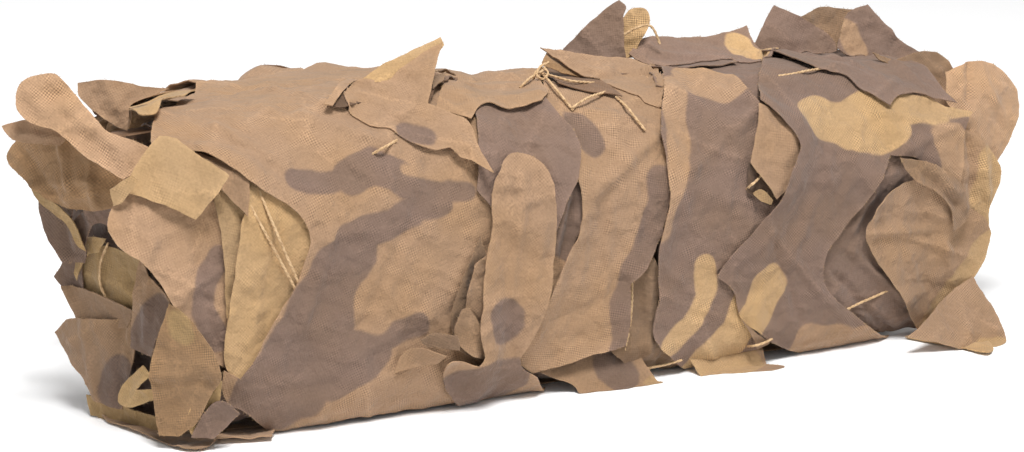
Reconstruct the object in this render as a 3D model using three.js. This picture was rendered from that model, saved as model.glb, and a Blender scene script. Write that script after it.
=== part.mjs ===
// A leaf-cut shade net, folded lengthwise and rolled up, lying as one long bundle.
// Millimetres, +Z up. X runs along the roll, -Y is its front, and it lies on the plane Z = 0.
import * as THREE from "three";
import { ParametricGeometry } from "three/addons/geometries/ParametricGeometry.js";

// The roll's section: a flat foot, two upright sides and a broad top with round shoulders
const ROLL_DEPTH = 200;
const ROLL_HEIGHT = 188;
const SHOULDER_RADIUS = 68;
const FOOT_RADIUS = 26;

// How the roll's section swells and sways from its near end to its far end
const SECTIONS = [
  { x: -264, height: 192, depth: 190, sway: 3 },
  { x: -205, height: 197, depth: 198, sway: 1 },
  { x: -135, height: 199, depth: 202, sway: -1 },
  { x: -60, height: 193, depth: 201, sway: 0 },
  { x: 20, height: 187, depth: 197, sway: 1 },
  { x: 100, height: 185, depth: 200, sway: 0 },
  { x: 180, height: 188, depth: 202, sway: -1 },
  { x: 262, height: 181, depth: 194, sway: 1 },
];

// The wound turns, as shares of the half section
const TURN_PITCH = 0.25;
const TURN_GAP = 0.03;
const TURN_COUNT = 3.7;
const LAP_START = 0.86;
const STEPS_PER_TURN = 36;
const END_DISH = 34;
const END_RUFFLE = 7;
const NEAR_RUFFLES = 3;
const FAR_RUFFLES = 4;

// The cloth and the cord of the carrier net
const LEAF_THICKNESS = 1.2;
const LEAF_STEP = 14;
const LEAST_SPAN = 0.5;
const TIP_CROWDING = 1.35;
const FIRST_LAYER = 1.55;
const LAYER_PITCH = 2.1;
const BEND_LENGTH = 26;
const CORD_RADIUS = 1;
const CORD_SIDES = 8;
const CORD_CLEARANCE = 0.35;
const CORD_POINTS = 5;
const CORD_STEPS = 6;
const FLOOR_TUCK = 7;
const FLOOR_STEPS = 4;

// A leaf's outline: a narrow neck, then a round, pointed or square end, as shares of its length and width
const NECK_WIDTH = 0.74;
const NECK_LENGTH = 0.35;
const ROUND_START = 0.5;
const POINT_START = 0.2;
const SQUARE_WIDTH = 0.82;

// Leaves that grow from the roll. x and girth place the root, girth runs round the section from the
// front foot upwards, and heading turns from +X towards rising girth. A leaf lies on the roll for its
// foot, then bends off it by rise degrees. A higher layer lies over a lower one.
const LEAF_COLUMNS = ["name", "x", "girth", "heading", "length", "width", "tip", "foot", "rise", "layer"];
const LEAF_ROWS = [
  ["leaf_front_main", -146, 296, 270, 256, 140, "square", 256, 0, 1],
  ["leaf_front_near", -256, 192, 268, 106, 60, "round", 106, 0, 2],
  ["leaf_front_sand", -205, 160, 264, 104, 44, "point", 104, 0, 2],
  ["leaf_front_heel", -240, 84, 262, 48, 36, "round", 48, 0, 2],
  ["leaf_torn", -50, 168, 138, 108, 54, "round", 108, 0, 3],
  ["leaf_front_round", -42, 210, 288, 84, 70, "round", 84, 0, 2],
  ["leaf_front_spot", -38, 146, 252, 106, 56, "round", 106, 0, 3],
  ["leaf_front_broad", 8, 200, 264, 158, 72, "round", 158, 0, 1],
  ["leaf_front_waffle", 92, 214, 254, 150, 56, "round", 150, 0, 2],
  ["leaf_front_hook", 82, 132, 274, 92, 52, "square", 92, 0, 1],
  ["leaf_front_mauve", 190, 166, 246, 130, 70, "round", 130, 0, 1],
  ["leaf_front_pale", 180, 206, 334, 110, 58, "round", 110, 0, 2],
  ["leaf_front_far", 215, 84, 2, 108, 98, "round", 108, 0, 2],
  ["leaf_top_peak", -98, 240, 52, 88, 54, "point", 26, 20, 2],
  ["leaf_top_ridge", 56, 262, 46, 80, 58, "point", 22, 48, 1],
  ["leaf_top_mauve", 136, 248, 84, 74, 66, "square", 44, 12, 1],
  ["leaf_top_far_a", 203, 272, 72, 64, 56, "point", 24, 46, 1],
  ["leaf_top_far_b", 252, 262, 52, 76, 46, "point", 26, 38, 1],
  ["leaf_near_strap", -244, 164, 134, 120, 46, "round", 34, 0, 1],
  ["leaf_near_curl", -218, 290, 184, 82, 46, "round", 44, 40, 1],
  ["leaf_near_side", -240, 128, 166, 116, 40, "round", 58, 6, 1],
  ["leaf_near_strip", -240, 90, 176, 84, 30, "round", 56, 6, 1],
  ["leaf_near_low", -236, 54, 180, 102, 38, "square", 64, 8, 1],
  ["leaf_far_lobe", 218, 178, 5, 142, 62, "round", 88, -10, 1],
  ["leaf_far_strip", 246, 124, 356, 84, 40, "round", 70, -6, 1],
  ["leaf_far_low", 240, 54, 350, 104, 52, "square", 90, 0, 1],
  ["leaf_back_a", -186, 330, 92, 150, 90, "round", 150, 0, 1],
  ["leaf_back_b", -62, 342, 84, 136, 84, "round", 136, 0, 1],
  ["leaf_back_c", 58, 336, 96, 150, 88, "square", 150, 0, 1],
  ["leaf_back_d", 176, 340, 88, 134, 84, "round", 134, 0, 1],
  ["leaf_back_e", -126, 424, 264, 74, 62, "round", 40, 14, 2],
  ["leaf_back_f", 116, 400, 84, 76, 64, "point", 36, 16, 2],
  ["leaf_back_near", -238, 376, 178, 92, 54, "round", 36, 12, 1],
  ["leaf_back_far", 234, 404, 2, 92, 60, "round", 34, 10, 1],
];

// Leaves that lie out flat on the floor from under the front edge or the near end
const FLOOR_COLUMNS = ["name", "x", "heading", "length", "width", "tip"];
const FLOOR_ROWS = [
  ["leaf_floor_near", -214, 262, 34, 62, "round"],
  ["leaf_floor_mid", 24, 272, 44, 66, "square"],
  ["leaf_floor_tip", 96, 292, 68, 58, "point"],
  ["leaf_floor_far", 246, 312, 82, 56, "square"],
];

// Stretches of carrier cord that lie on the roll in the gaps between leaves
const CORD_COLUMNS = ["name", "x", "girth", "heading", "length"];
const CORD_ROWS = [
  ["net_cord_near", -228, 176, 278, 60],
  ["net_cord_gap", 50, 104, 268, 46],
  ["net_cord_far", 204, 52, 24, 30],
  ["net_cord_knot_a", 24, 278, 286, 48],
  ["net_cord_knot_b", 34, 256, 332, 30],
];

const SAND = new THREE.Color("#c6a37a");
const TAN = new THREE.Color("#b2927a");
const MAUVE = new THREE.Color("#937a6c");
const CREAM = new THREE.Color("#e6cda6");
const LEAF_COLOURS = [TAN, TAN, SAND];
const CLOTH_ROUGHNESS = 0.9;

/** Turns rows of bare cells into records with named columns. */
function table(columns, rows) {
  return rows.map((row) => Object.fromEntries(columns.map((column, i) => [column, row[i]])));
}

/** The roll's outline in its nominal section, as a path in (y, z) from the loose edge low at the back. */
function sectionPath() {
  const side = ROLL_DEPTH / 2;
  const foot = side - FOOT_RADIUS;
  const shoulder = side - SHOULDER_RADIUS;
  const shoulderZ = ROLL_HEIGHT - SHOULDER_RADIUS;
  const path = new THREE.Path();
  path.moveTo(foot, 0);
  path.lineTo(-foot, 0);
  path.absarc(-foot, FOOT_RADIUS, FOOT_RADIUS, 1.5 * Math.PI, Math.PI, true);
  path.lineTo(-side, shoulderZ);
  path.absarc(-shoulder, shoulderZ, SHOULDER_RADIUS, Math.PI, Math.PI / 2, true);
  path.lineTo(shoulder, ROLL_HEIGHT);
  path.absarc(shoulder, shoulderZ, SHOULDER_RADIUS, Math.PI / 2, 0, true);
  path.lineTo(side, FOOT_RADIUS);
  path.absarc(foot, FOOT_RADIUS, FOOT_RADIUS, 0, -Math.PI / 2, true);
  return path;
}

const SECTION = sectionPath();
const GIRTH = SECTION.getLength();
const FOOT_WIDTH = ROLL_DEPTH - 2 * FOOT_RADIUS;

/** How far the wound cloth has drawn in at a share of the girth, from 0 to 1 over the lap. */
function lapDraw(share) {
  return THREE.MathUtils.smoothstep(share, LAP_START, 1);
}

/** A point of the nominal section, drawn in towards its middle to a given scale. */
function sectionPoint(share, scale) {
  const point = SECTION.getPoint(share);
  const middle = ROLL_HEIGHT / 2;
  return new THREE.Vector2(point.x * scale, middle + (point.y - middle) * scale);
}

/** The section's row at x, worked out between the rows of the table and past its ends. */
function sectionAt(x) {
  const last = SECTIONS.length - 1;
  const found = SECTIONS.findIndex((row) => row.x > x);
  const next = found === -1 ? last : Math.max(found, 1);
  const [a, b] = [SECTIONS[next - 1], SECTIONS[next]];
  const share = (x - a.x) / (b.x - a.x);
  const mix = (key) => THREE.MathUtils.lerp(a[key], b[key], share);
  return { height: mix("height"), depth: mix("depth"), sway: mix("sway") };
}

/** Carries a nominal section point to its place at x. */
function place(x, point) {
  const row = sectionAt(x);
  const y = (point.x * row.depth) / ROLL_DEPTH + row.sway;
  return new THREE.Vector3(x, y, (point.y * row.height) / ROLL_HEIGHT);
}

/** A point of the roll's outer surface, with its outward normal and the direction of rising girth. */
function surface(x, girth) {
  const share = THREE.MathUtils.euclideanModulo((girth + FOOT_WIDTH) / GIRTH, 1);
  const point = place(x, sectionPoint(share, 1 - TURN_PITCH * lapDraw(share)));
  const flow = SECTION.getTangent(share);
  const around = new THREE.Vector3(0, flow.x, flow.y);
  const normal = new THREE.Vector3(0, -flow.y, flow.x);
  return { point, around, normal };
}

/** The wound roll: a spiral band of cloth, run from end to end and shaped by the table of sections. */
function rollGeometry() {
  const outer = [];
  const inner = [];
  const turns = Math.ceil(TURN_COUNT);
  for (let turn = 0; turn < turns; turn++) {
    const steps = Math.round(STEPS_PER_TURN * (1 - turn * TURN_PITCH));
    const portion = Math.min(1, TURN_COUNT - turn);
    const count = Math.round(steps * portion);
    for (let i = 0; i < count; i++) {
      const share = i / steps;
      const scale = 1 - TURN_PITCH * (turn + lapDraw(share));
      outer.push(sectionPoint(share, scale));
      inner.push(sectionPoint(share, scale - TURN_PITCH + TURN_GAP));
    }
  }
  const band = new THREE.Shape([...outer, ...inner.reverse()]);
  const last = SECTIONS.length - 1;
  const geometry = new THREE.ExtrudeGeometry(band, { depth: last, steps: last, bevelEnabled: false });
  const position = geometry.getAttribute("position");
  for (let i = 0; i < position.count; i++) {
    const flat = new THREE.Vector2(position.getX(i), position.getY(i));
    const rimY = Math.abs(flat.x) / (ROLL_DEPTH / 2);
    const rimZ = Math.abs(flat.y * 2 - ROLL_HEIGHT) / ROLL_HEIGHT;
    const drawn = END_DISH * (1 - Math.max(rimY, rimZ));
    const angle = Math.atan2(flat.y - ROLL_HEIGHT / 2, flat.x);
    const station = Math.round(position.getZ(i));
    let { x } = SECTIONS[station];
    if (station === 0) x += drawn + END_RUFFLE * Math.sin(NEAR_RUFFLES * angle);
    if (station === last) x -= drawn + END_RUFFLE * Math.cos(FAR_RUFFLES * angle);
    const spot = place(x, flat);
    position.setXYZ(i, spot.x, spot.y, spot.z);
  }
  return geometry;
}

/** A leaf's half width at a share of its length, as a share of its full half width. */
function leafProfile(share, tip) {
  const neck = THREE.MathUtils.lerp(NECK_WIDTH, 1, THREE.MathUtils.smoothstep(share, 0, NECK_LENGTH));
  if (tip === "square") return neck * THREE.MathUtils.lerp(1, SQUARE_WIDTH, share);
  const start = tip === "round" ? ROUND_START : POINT_START;
  const past = Math.max(0, (share - start) / (1 - start));
  return tip === "round" ? neck * Math.sqrt(1 - past * past) : neck * (1 - past);
}

/** Draws the steps along a round leaf towards its tip, where the outline turns fastest. */
function tipward(share, tip) {
  return tip === "round" ? 1 - (1 - share) ** TIP_CROWDING : share;
}

/** A closed sheet on a middle surface, which gives a point and a normal for along and across. */
function sheetGeometry(middle, stepsAlong, stepsAcross) {
  const ring = 2 * (stepsAcross + 1);
  const shape = (u, v, target) => {
    const i = Math.round(u * ring) % ring;
    const upper = i <= stepsAcross;
    const across = upper ? i / stepsAcross : (ring - 1 - i) / stepsAcross;
    const { point, normal } = middle(v, 2 * across - 1);
    const closed = v === 0 || v === 1;
    const half = closed ? 0 : LEAF_THICKNESS / 2;
    target.copy(point).addScaledVector(normal, upper ? -half : half);
  };
  return new ParametricGeometry(shape, ring, stepsAlong);
}

/** A leaf that lies on the roll for its foot and then bends off it. */
function rollLeafGeometry(leaf) {
  const heading = THREE.MathUtils.degToRad(leaf.heading);
  const ahead = new THREE.Vector2(Math.cos(heading), Math.sin(heading));
  const lift = FIRST_LAYER + LAYER_PITCH * (leaf.layer - 1);
  const seat = (s, t) => surface(leaf.x + s * ahead.x - t * ahead.y, leaf.girth + s * ahead.y + t * ahead.x);
  const hinge = seat(leaf.foot, 0);
  const forward = new THREE.Vector3(ahead.x, 0, 0).addScaledVector(hinge.around, ahead.y);
  const rise = THREE.MathUtils.degToRad(leaf.rise);
  const middle = (v, across) => {
    const share = tipward(v, leaf.tip);
    const s = share * leaf.length;
    const t = (across * leaf.width * leafProfile(share, leaf.tip)) / 2;
    const { point, normal } = seat(Math.min(s, leaf.foot), t);
    point.addScaledVector(normal, lift);
    if (s <= leaf.foot) return { point, normal };
    const past = s - leaf.foot;
    const bent = Math.min(past, BEND_LENGTH);
    const angle = (rise * bent) / BEND_LENGTH;
    const straight = past - bent;
    const reach = bent * Math.cos(angle / 2) + straight * Math.cos(angle);
    const climb = bent * Math.sin(angle / 2) + straight * Math.sin(angle);
    point.addScaledVector(forward, reach).addScaledVector(hinge.normal, climb);
    const turned = hinge.normal.clone().multiplyScalar(Math.cos(angle));
    return { point, normal: turned.addScaledVector(forward, -Math.sin(angle)) };
  };
  const alongSpan = leaf.length * Math.max(Math.abs(ahead.y), LEAST_SPAN);
  const acrossSpan = leaf.width * Math.max(Math.abs(ahead.x), LEAST_SPAN);
  return sheetGeometry(middle, Math.ceil(alongSpan / LEAF_STEP) + 1, Math.ceil(acrossSpan / LEAF_STEP) + 1);
}

/** A leaf that lies flat on the floor. */
function floorLeafGeometry(leaf) {
  const heading = THREE.MathUtils.degToRad(leaf.heading);
  const ahead = new THREE.Vector2(Math.cos(heading), Math.sin(heading));
  const normal = new THREE.Vector3(0, 0, 1);
  const middle = (v, across) => {
    const share = tipward(v, leaf.tip);
    const s = share * leaf.length;
    const t = (across * leaf.width * leafProfile(share, leaf.tip)) / 2;
    const x = leaf.x + s * ahead.x - t * ahead.y;
    const root = place(x, new THREE.Vector2(-FOOT_WIDTH / 2 - FLOOR_TUCK, 0)).y;
    const y = root + Math.min(0, s * ahead.y + t * ahead.x);
    return { point: new THREE.Vector3(x, y, LEAF_THICKNESS / 2), normal };
  };
  return sheetGeometry(middle, FLOOR_STEPS, FLOOR_STEPS);
}

/** A stretch of cord on the roll's surface. */
function cordGeometry(cord) {
  const heading = THREE.MathUtils.degToRad(cord.heading);
  const points = Array.from({ length: CORD_POINTS }, (_, i) => {
    const s = (cord.length * i) / (CORD_POINTS - 1);
    const spot = surface(cord.x + s * Math.cos(heading), cord.girth + s * Math.sin(heading));
    return spot.point.addScaledVector(spot.normal, CORD_RADIUS + CORD_CLEARANCE);
  });
  const corners = Array.from({ length: CORD_SIDES }, (_, i) => {
    const angle = (2 * Math.PI * i) / CORD_SIDES;
    return new THREE.Vector2(CORD_RADIUS * Math.cos(angle), CORD_RADIUS * Math.sin(angle));
  });
  const extrudePath = new THREE.CatmullRomCurve3(points);
  return new THREE.ExtrudeGeometry(new THREE.Shape(corners), { steps: CORD_STEPS, extrudePath });
}

/** A named mesh of one cloth or cord colour. */
function mesh(name, geometry, color) {
  const material = new THREE.MeshStandardMaterial({ color, roughness: CLOTH_ROUGHNESS, metalness: 0 });
  const part = new THREE.Mesh(geometry, material);
  part.name = name;
  return part;
}

const net = new THREE.Group();
net.add(mesh("rolled_net", rollGeometry(), MAUVE));
table(LEAF_COLUMNS, LEAF_ROWS).forEach((leaf, i) => {
  net.add(mesh(leaf.name, rollLeafGeometry(leaf), LEAF_COLOURS[i % LEAF_COLOURS.length]));
});
table(FLOOR_COLUMNS, FLOOR_ROWS).forEach((leaf) => net.add(mesh(leaf.name, floorLeafGeometry(leaf), TAN)));
table(CORD_COLUMNS, CORD_ROWS).forEach((cord) => net.add(mesh(cord.name, cordGeometry(cord), CREAM)));

export default net;
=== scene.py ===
"""A leaf-cut shade net, wound into a long loose roll that lies on a pale floor.

Lengths are millimetres until a mesh is written, which is in metres. X runs along the roll, -Y is its front.
A leaf is cut flat and then laid on the roll, so every leaf keeps its flat shape as its UV map.
"""

from __future__ import annotations

import logging
import math
from collections.abc import Callable, Sequence
from dataclasses import dataclass, field
from enum import Enum, IntEnum

import bmesh
import bpy
import numpy as np
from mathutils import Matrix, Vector

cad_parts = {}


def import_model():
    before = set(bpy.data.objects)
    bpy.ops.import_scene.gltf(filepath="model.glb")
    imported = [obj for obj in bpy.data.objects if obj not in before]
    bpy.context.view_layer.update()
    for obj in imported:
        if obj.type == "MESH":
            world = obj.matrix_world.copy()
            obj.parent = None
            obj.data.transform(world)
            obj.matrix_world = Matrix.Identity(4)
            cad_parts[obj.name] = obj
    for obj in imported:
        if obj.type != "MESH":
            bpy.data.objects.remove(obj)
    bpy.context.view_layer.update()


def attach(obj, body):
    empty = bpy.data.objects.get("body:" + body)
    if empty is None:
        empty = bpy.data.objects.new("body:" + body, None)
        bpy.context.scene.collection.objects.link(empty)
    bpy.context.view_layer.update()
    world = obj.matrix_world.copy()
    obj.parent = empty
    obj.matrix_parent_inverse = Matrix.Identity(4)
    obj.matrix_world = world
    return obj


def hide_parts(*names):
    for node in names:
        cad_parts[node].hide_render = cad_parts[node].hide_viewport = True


MM = 0.001
TINY = 1e-9
FULL_TURN = 6.3
BODY = "root"
LOG = logging.getLogger("shade_net")
Array = np.ndarray
Heights = Callable[[Array], Array]
Paint = Callable[[Array], dict[str, Array]]
Material = bpy.types.Material
Mesh = bpy.types.Mesh
Piece = bpy.types.Object
Places = tuple[tuple[float, float], ...]
Range = tuple[float, float]


class Cloth(Enum):
    """The printed colours of the net's cloth."""

    TAN = "tan"
    MAUVE = "mauve"
    SAND = "sand"


class Slot(Enum):
    """The names of the finishes for the pieces."""

    WOUND = "wound_cloth"
    LEAF = "leaf_cloth"
    CORD = "net_cord"


class Draw(IntEnum):
    """What a piece's random draws are for, as a step from its seed."""

    GRAIN = 0
    GRAIN_SHIFT = 1
    PATCHES = 3
    EDGE = 5
    CURL = 7
    THREADS = 11
    SWELLS = 20
    DENTS = 50
    FOLDS = 90


@dataclass(frozen=True)
class Corner:
    """A corner of a leaf: where it shows in the picture, or where it lies hidden on the roll."""

    at: tuple[float, float]
    lift: float = 0.0
    rounded: bool = False
    hidden: bool = False


def in_pairs(numbers: Sequence[float]) -> Places:
    """Numbers taken two by two."""
    return tuple(zip(numbers[::2], numbers[1::2], strict=True))


def cut(*pixels: float, lift: float = 0.0) -> tuple[Corner, ...]:
    """Sharp corners that show at pixels, held lift mm clear of what is under them."""
    return tuple(Corner(at, lift) for at in in_pairs(pixels))


def arc(*pixels: float, lift: float = 0.0) -> tuple[Corner, ...]:
    """Points on a round stretch of edge that show at pixels."""
    return tuple(Corner(at, lift, rounded=True) for at in in_pairs(pixels))


def hid(*spots: float) -> tuple[Corner, ...]:
    """Hidden corners, by their places along and round the roll in mm."""
    return tuple(Corner(at, hidden=True) for at in in_pairs(spots))


def lie(*spots: float) -> tuple[Corner, ...]:
    """Hidden points on a round stretch of edge, by their places along and round the roll in mm."""
    return tuple(Corner(at, rounded=True, hidden=True) for at in in_pairs(spots))


@dataclass(frozen=True)
class Patch:
    """A printed patch: a soft-ended band of one colour along a short spine of pixels, or of hidden places."""

    colour: Cloth
    radius: float
    spine: Places
    hidden: bool = False


@dataclass(frozen=True)
class Crease:
    """A soft ridge, or a trough where its height is below 0, between two pixels."""

    start: tuple[float, float]
    end: tuple[float, float]
    height: float
    breadth: float


def dab(colour: Cloth, radius: float, *spine: float, hidden: bool = False) -> Patch:
    """A printed patch along a spine of places."""
    return Patch(colour, radius, in_pairs(spine), hidden)


def nip(ax: float, ay: float, bx: float, by: float, height: float, breadth: float = 3.0) -> Crease:
    """A crease between two pixels."""
    return Crease((ax, ay), (bx, by), height, breadth)


@dataclass(frozen=True)
class Plane:
    """A flat place for a leaf that stands off the roll: a point on it, and the way that it faces."""

    x: float
    y: float
    z: float
    azimuth: float
    tilt: float = 0.0


@dataclass(frozen=True)
class Leaf:
    """A cut leaf that shows in the picture.

    Its corners run round its outline. With no plane it lies on the roll, and raised moves it off its seat.
    """

    name: str
    corners: tuple[Corner, ...]
    plane: Plane | None = None
    ground: Cloth = Cloth.TAN
    patches: tuple[Patch, ...] = ()
    creases: tuple[Crease, ...] = ()
    raised: float = 0.0
    curl: float = 1.0
    bow: float = 0.0
    waffle: float = 0.35
    crumple: float = 1.0
    # Scales the leaf's colour: it paints shade onto the leaf where it is below 1, and light where it is above
    # 1.
    fade: float = 1.0
    cell: float = 2.2
    # Marks a dark sheet of the inside, put where shade falls: it takes the darker cloth that paints that
    # shade.
    inner: bool = False
    turned: bool = False
    node: bool = False
    also: tuple[str, ...] = ()


@dataclass(frozen=True)
class Tongue:
    """A plain cut leaf on the hidden side of the roll, by its root, heading and size in mm and degrees."""

    name: str
    x: float
    girth: float
    heading: float
    length: float
    width: float
    tip: float
    rise: float = 0.0
    foot: float = 400.0
    ground: Cloth = Cloth.TAN
    lean: float = 0.0
    waist: float = 1.0
    node: bool = False


def facing_axes(azimuth: float, tilt: float) -> tuple[Array, Array, Array]:
    """The directions of something that faces a given way.

    Args:
        azimuth: The degrees by which it is turned round from the front.
        tilt: The degrees by which it looks up.

    Returns:
        Unit vectors to its right, upwards on it and out of it.
    """
    turn, climb = math.radians(azimuth), math.radians(tilt)
    level = math.cos(climb)
    out = np.array([math.sin(turn) * level, -math.cos(turn) * level, math.sin(climb)])
    right = np.array([math.cos(turn), math.sin(turn), 0.0])
    return right, np.cross(out, right), out


@dataclass(frozen=True)
class PhotoCamera:
    """The camera at the picture's viewing angle, with its lens given in pixels."""

    azimuth: float = -25.0
    elevation: float = 15.5
    target: tuple[float, float, float] = (0.0, 0.0, 86.0)
    distance: float = 1800.0
    focal: float = 2700.0
    width: int = 1024
    height: int = 452
    sensor: float = 36.0

    def axes(self) -> tuple[Array, Array, Array]:
        """The camera's right, up and back directions."""
        return facing_axes(self.azimuth, self.elevation)

    def eye(self) -> Array:
        """The camera's place in mm."""
        return np.array(self.target) + self.distance * self.axes()[2]

    def pixels(self, points: Array) -> Array:
        """Projects points into the picture.

        Args:
            points: Places in mm, one row each.

        Returns:
            Pixels across and down, one row each.
        """
        right, up, back = self.axes()
        seen = points - self.eye()
        depth = -(seen @ back)
        across = self.width / 2 + self.focal * (seen @ right) / depth
        down = self.height / 2 - self.focal * (seen @ up) / depth
        return np.stack([across, down], axis=-1)

    def ray(self, pixel: Sequence[float]) -> Array:
        """The direction in which a pixel is seen."""
        right, up, back = self.axes()
        across = (pixel[0] - self.width / 2) / self.focal
        down = (pixel[1] - self.height / 2) / self.focal
        return across * right - down * up - back

    def build(self) -> None:
        """Adds the camera and makes it the scene's own."""
        data = bpy.data.cameras.new("camera")
        data.sensor_width = self.sensor
        data.lens = self.focal * self.sensor / self.width
        camera = bpy.data.objects.new("camera", data)
        camera.location = Vector(self.eye() * MM)
        camera.rotation_euler = Vector(self.axes()[2]).to_track_quat("Z", "Y").to_euler()
        bpy.context.scene.collection.objects.link(camera)
        bpy.context.scene.camera = camera


def smoothstep(values: Array, low: float, high: float) -> Array:
    """Eases values from 0 at low to 1 at high."""
    share = np.clip((values - low) / (high - low), 0.0, 1.0)
    return share * share * (3.0 - 2.0 * share)


def soft_max(a: Array, b: Array | float, blend: float) -> Array:
    """The larger of two heights, rounded off over blend mm where they meet."""
    return (a + b + np.sqrt((a - b) ** 2 + blend * blend)) / 2


def above_floor(points: Array, floor: float = 0.9, blend: float = 0.6) -> Array:
    """Points kept just above the floor."""
    points[:, 2] = soft_max(points[:, 2], floor, blend)
    return points


def unit(vector: Array) -> Array:
    """A vector made one long."""
    return vector / max(float(np.linalg.norm(vector)), TINY)


def units(rows: Array) -> Array:
    """Rows made one long each."""
    return rows / np.maximum(np.linalg.norm(rows, axis=1, keepdims=True), TINY)


def heading(angle: float) -> Array:
    """The flat direction at an angle."""
    return np.array([math.cos(angle), math.sin(angle)])


def sideways(along: Array) -> Array:
    """A flat direction turned left by a quarter."""
    return np.array([-along[1], along[0]])


def turning(angle: float) -> Array:
    """The matrix that reads flat places along and across the direction at an angle."""
    return np.stack([heading(angle), sideways(heading(angle))], axis=-1)


def run_along(line: Array) -> Array:
    """How far along a line each of its points lies."""
    return np.concatenate([[0.0], np.cumsum(np.linalg.norm(np.diff(line, axis=0), axis=1))])


def curve(a: Array, leave: Array, b: Array, arrive: Array, count: int) -> Array:
    """Points on a smooth curve between two places, without its last point.

    Args:
        a: Where it starts.
        leave: Its slope there.
        b: Where it ends.
        arrive: Its slope there.
        count: How many points to give.

    Returns:
        The points, one row each.
    """
    t = np.linspace(0, 1, count, endpoint=False)[:, None]
    start = (2 * t**3 - 3 * t**2 + 1) * a + (t**3 - 2 * t**2 + t) * leave
    return start + (3 * t**2 - 2 * t**3) * b + (t**3 - t**2) * arrive


@dataclass(frozen=True)
class Section:
    """The roll's height, depth and sideways sway at one place along it, in mm."""

    x: float
    height: float
    depth: float
    sway: float


SECTIONS = (
    Section(-264, 192, 190, 3),
    Section(-205, 197, 198, 1),
    Section(-135, 199, 202, -1),
    Section(-60, 193, 201, 0),
    Section(20, 187, 197, 1),
    Section(100, 185, 200, 0),
    Section(180, 188, 202, -1),
    Section(262, 181, 194, 1),
)


@dataclass
class RollForm:
    """The outer form of the roll, with places on it given by x and by girth from the front foot upwards."""

    depth: float = 200.0
    height: float = 188.0
    shoulder: float = 68.0
    foot: float = 26.0
    lap_start: float = 0.86
    lap_draw: float = 0.25
    step: float = 0.5
    overrun: float = 200.0
    search: float = 2.0
    sections: tuple[Section, ...] = SECTIONS
    outline: Array = field(init=False)
    flow: Array = field(init=False)
    along: Array = field(init=False)

    def __post_init__(self) -> None:
        """Samples the section's outline from its straight runs and corner arcs."""
        side = self.depth / 2
        foot = side - self.foot
        shoulder = side - self.shoulder
        top = self.height - self.shoulder
        runs = [
            self.stroke((foot, 0), (-foot, 0)),
            self.bend((-foot, self.foot), self.foot, 270, 180),
            self.stroke((-side, self.foot), (-side, top)),
            self.bend((-shoulder, top), self.shoulder, 180, 90),
            self.stroke((-shoulder, self.height), (shoulder, self.height)),
            self.bend((shoulder, top), self.shoulder, 90, 0),
            self.stroke((side, top), (side, self.foot)),
            self.bend((foot, self.foot), self.foot, 0, -90),
        ]
        self.outline = np.concatenate(runs + [np.array([[foot, 0.0]])])
        self.along = run_along(self.outline)
        self.flow = units(np.gradient(self.outline, axis=0))

    def stroke(self, start: Sequence[float], end: Sequence[float]) -> Array:
        """A sampled straight run, without its last point."""
        count = max(2, round(math.dist(start, end) / self.step))
        return np.linspace(start, end, count, endpoint=False)

    def bend(self, centre: Sequence[float], radius: float, start: float, end: float) -> Array:
        """A sampled arc between two angles in degrees, without its last point."""
        count = max(2, round(abs(math.radians(end - start)) * radius / self.step))
        angle = np.radians(np.linspace(start, end, count, endpoint=False))
        return np.array(centre) + radius * np.stack([np.cos(angle), np.sin(angle)], axis=-1)

    @property
    def girth(self) -> float:
        """The length round the section."""
        return float(self.along[-1])

    @property
    def sole(self) -> float:
        """The width of the flat underside."""
        return self.depth - 2 * self.foot

    def swell(self, x: Array) -> tuple[Array, Array, Array]:
        """The section's height share, depth share and sway at places along the roll.

        Args:
            x: Places along the roll, which may pass its ends.

        Returns:
            Height as a share of the nominal height, depth likewise, and sway in mm.
        """
        rows = np.array([(s.x, s.height / self.height, s.depth / self.depth, s.sway) for s in self.sections])
        first = rows[0] + (rows[0] - rows[1]) * self.overrun / (rows[1, 0] - rows[0, 0])
        last = rows[-1] + (rows[-1] - rows[-2]) * self.overrun / (rows[-1, 0] - rows[-2, 0])
        rows = np.vstack([first, rows, last])
        high, deep, sway = (np.interp(x, rows[:, 0], rows[:, i]) for i in (1, 2, 3))
        return high, deep, sway

    def surface(self, spots: Array, lift: Array | float = 0.0) -> Array:
        """Places on the roll at rows of x and girth, held off it by a lift in mm."""
        points, normals = self.shell(spots)
        return points + normals * np.reshape(np.broadcast_to(lift, (len(spots),)), (-1, 1))

    def shell(self, spots: Array, lapped: bool = True) -> tuple[Array, Array]:
        """The surface points and outward normals at places on the roll.

        Args:
            spots: Rows of x and girth.
            lapped: Whether the loose edge low at the back is drawn in under the turn above it.

        Returns:
            Points in mm and unit normals.
        """
        x, girth = spots[:, 0], np.mod(spots[:, 1] + self.sole, self.girth)
        y, z = (np.interp(girth, self.along, self.outline[:, i]) for i in (0, 1))
        fy, fz = (np.interp(girth, self.along, self.flow[:, i]) for i in (0, 1))
        scale = 1 - self.lap_draw * lapped * smoothstep(girth / self.girth, self.lap_start, 1.0)
        high, deep, sway = self.swell(x)
        middle = self.height / 2
        points = np.stack([x, y * scale * deep + sway, (middle + (z - middle) * scale) * high], axis=-1)
        normals = np.stack([np.zeros_like(fy), -fz, fy], axis=-1)
        return points, units(normals)

    def spots_near(self, points: Array) -> tuple[Array, Array]:
        """Finds the nearest places on the roll.

        Args:
            points: Places in mm.

        Returns:
            Rows of x and girth, and the height of each point above the surface there.
        """
        girths = np.arange(-self.sole, self.girth - self.sole, self.search)
        spots = np.zeros((len(points), 2))
        heights = np.zeros(len(points))
        for i, point in enumerate(points):
            ring = np.stack([np.full_like(girths, point[0]), girths], axis=-1)
            shell, normals = self.shell(ring)
            gap = point - shell
            nearest = int(np.argmin(np.einsum("ij,ij->i", gap, gap)))
            spots[i] = point[0], girths[nearest]
            heights[i] = gap[nearest] @ normals[nearest]
        return spots, heights


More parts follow.
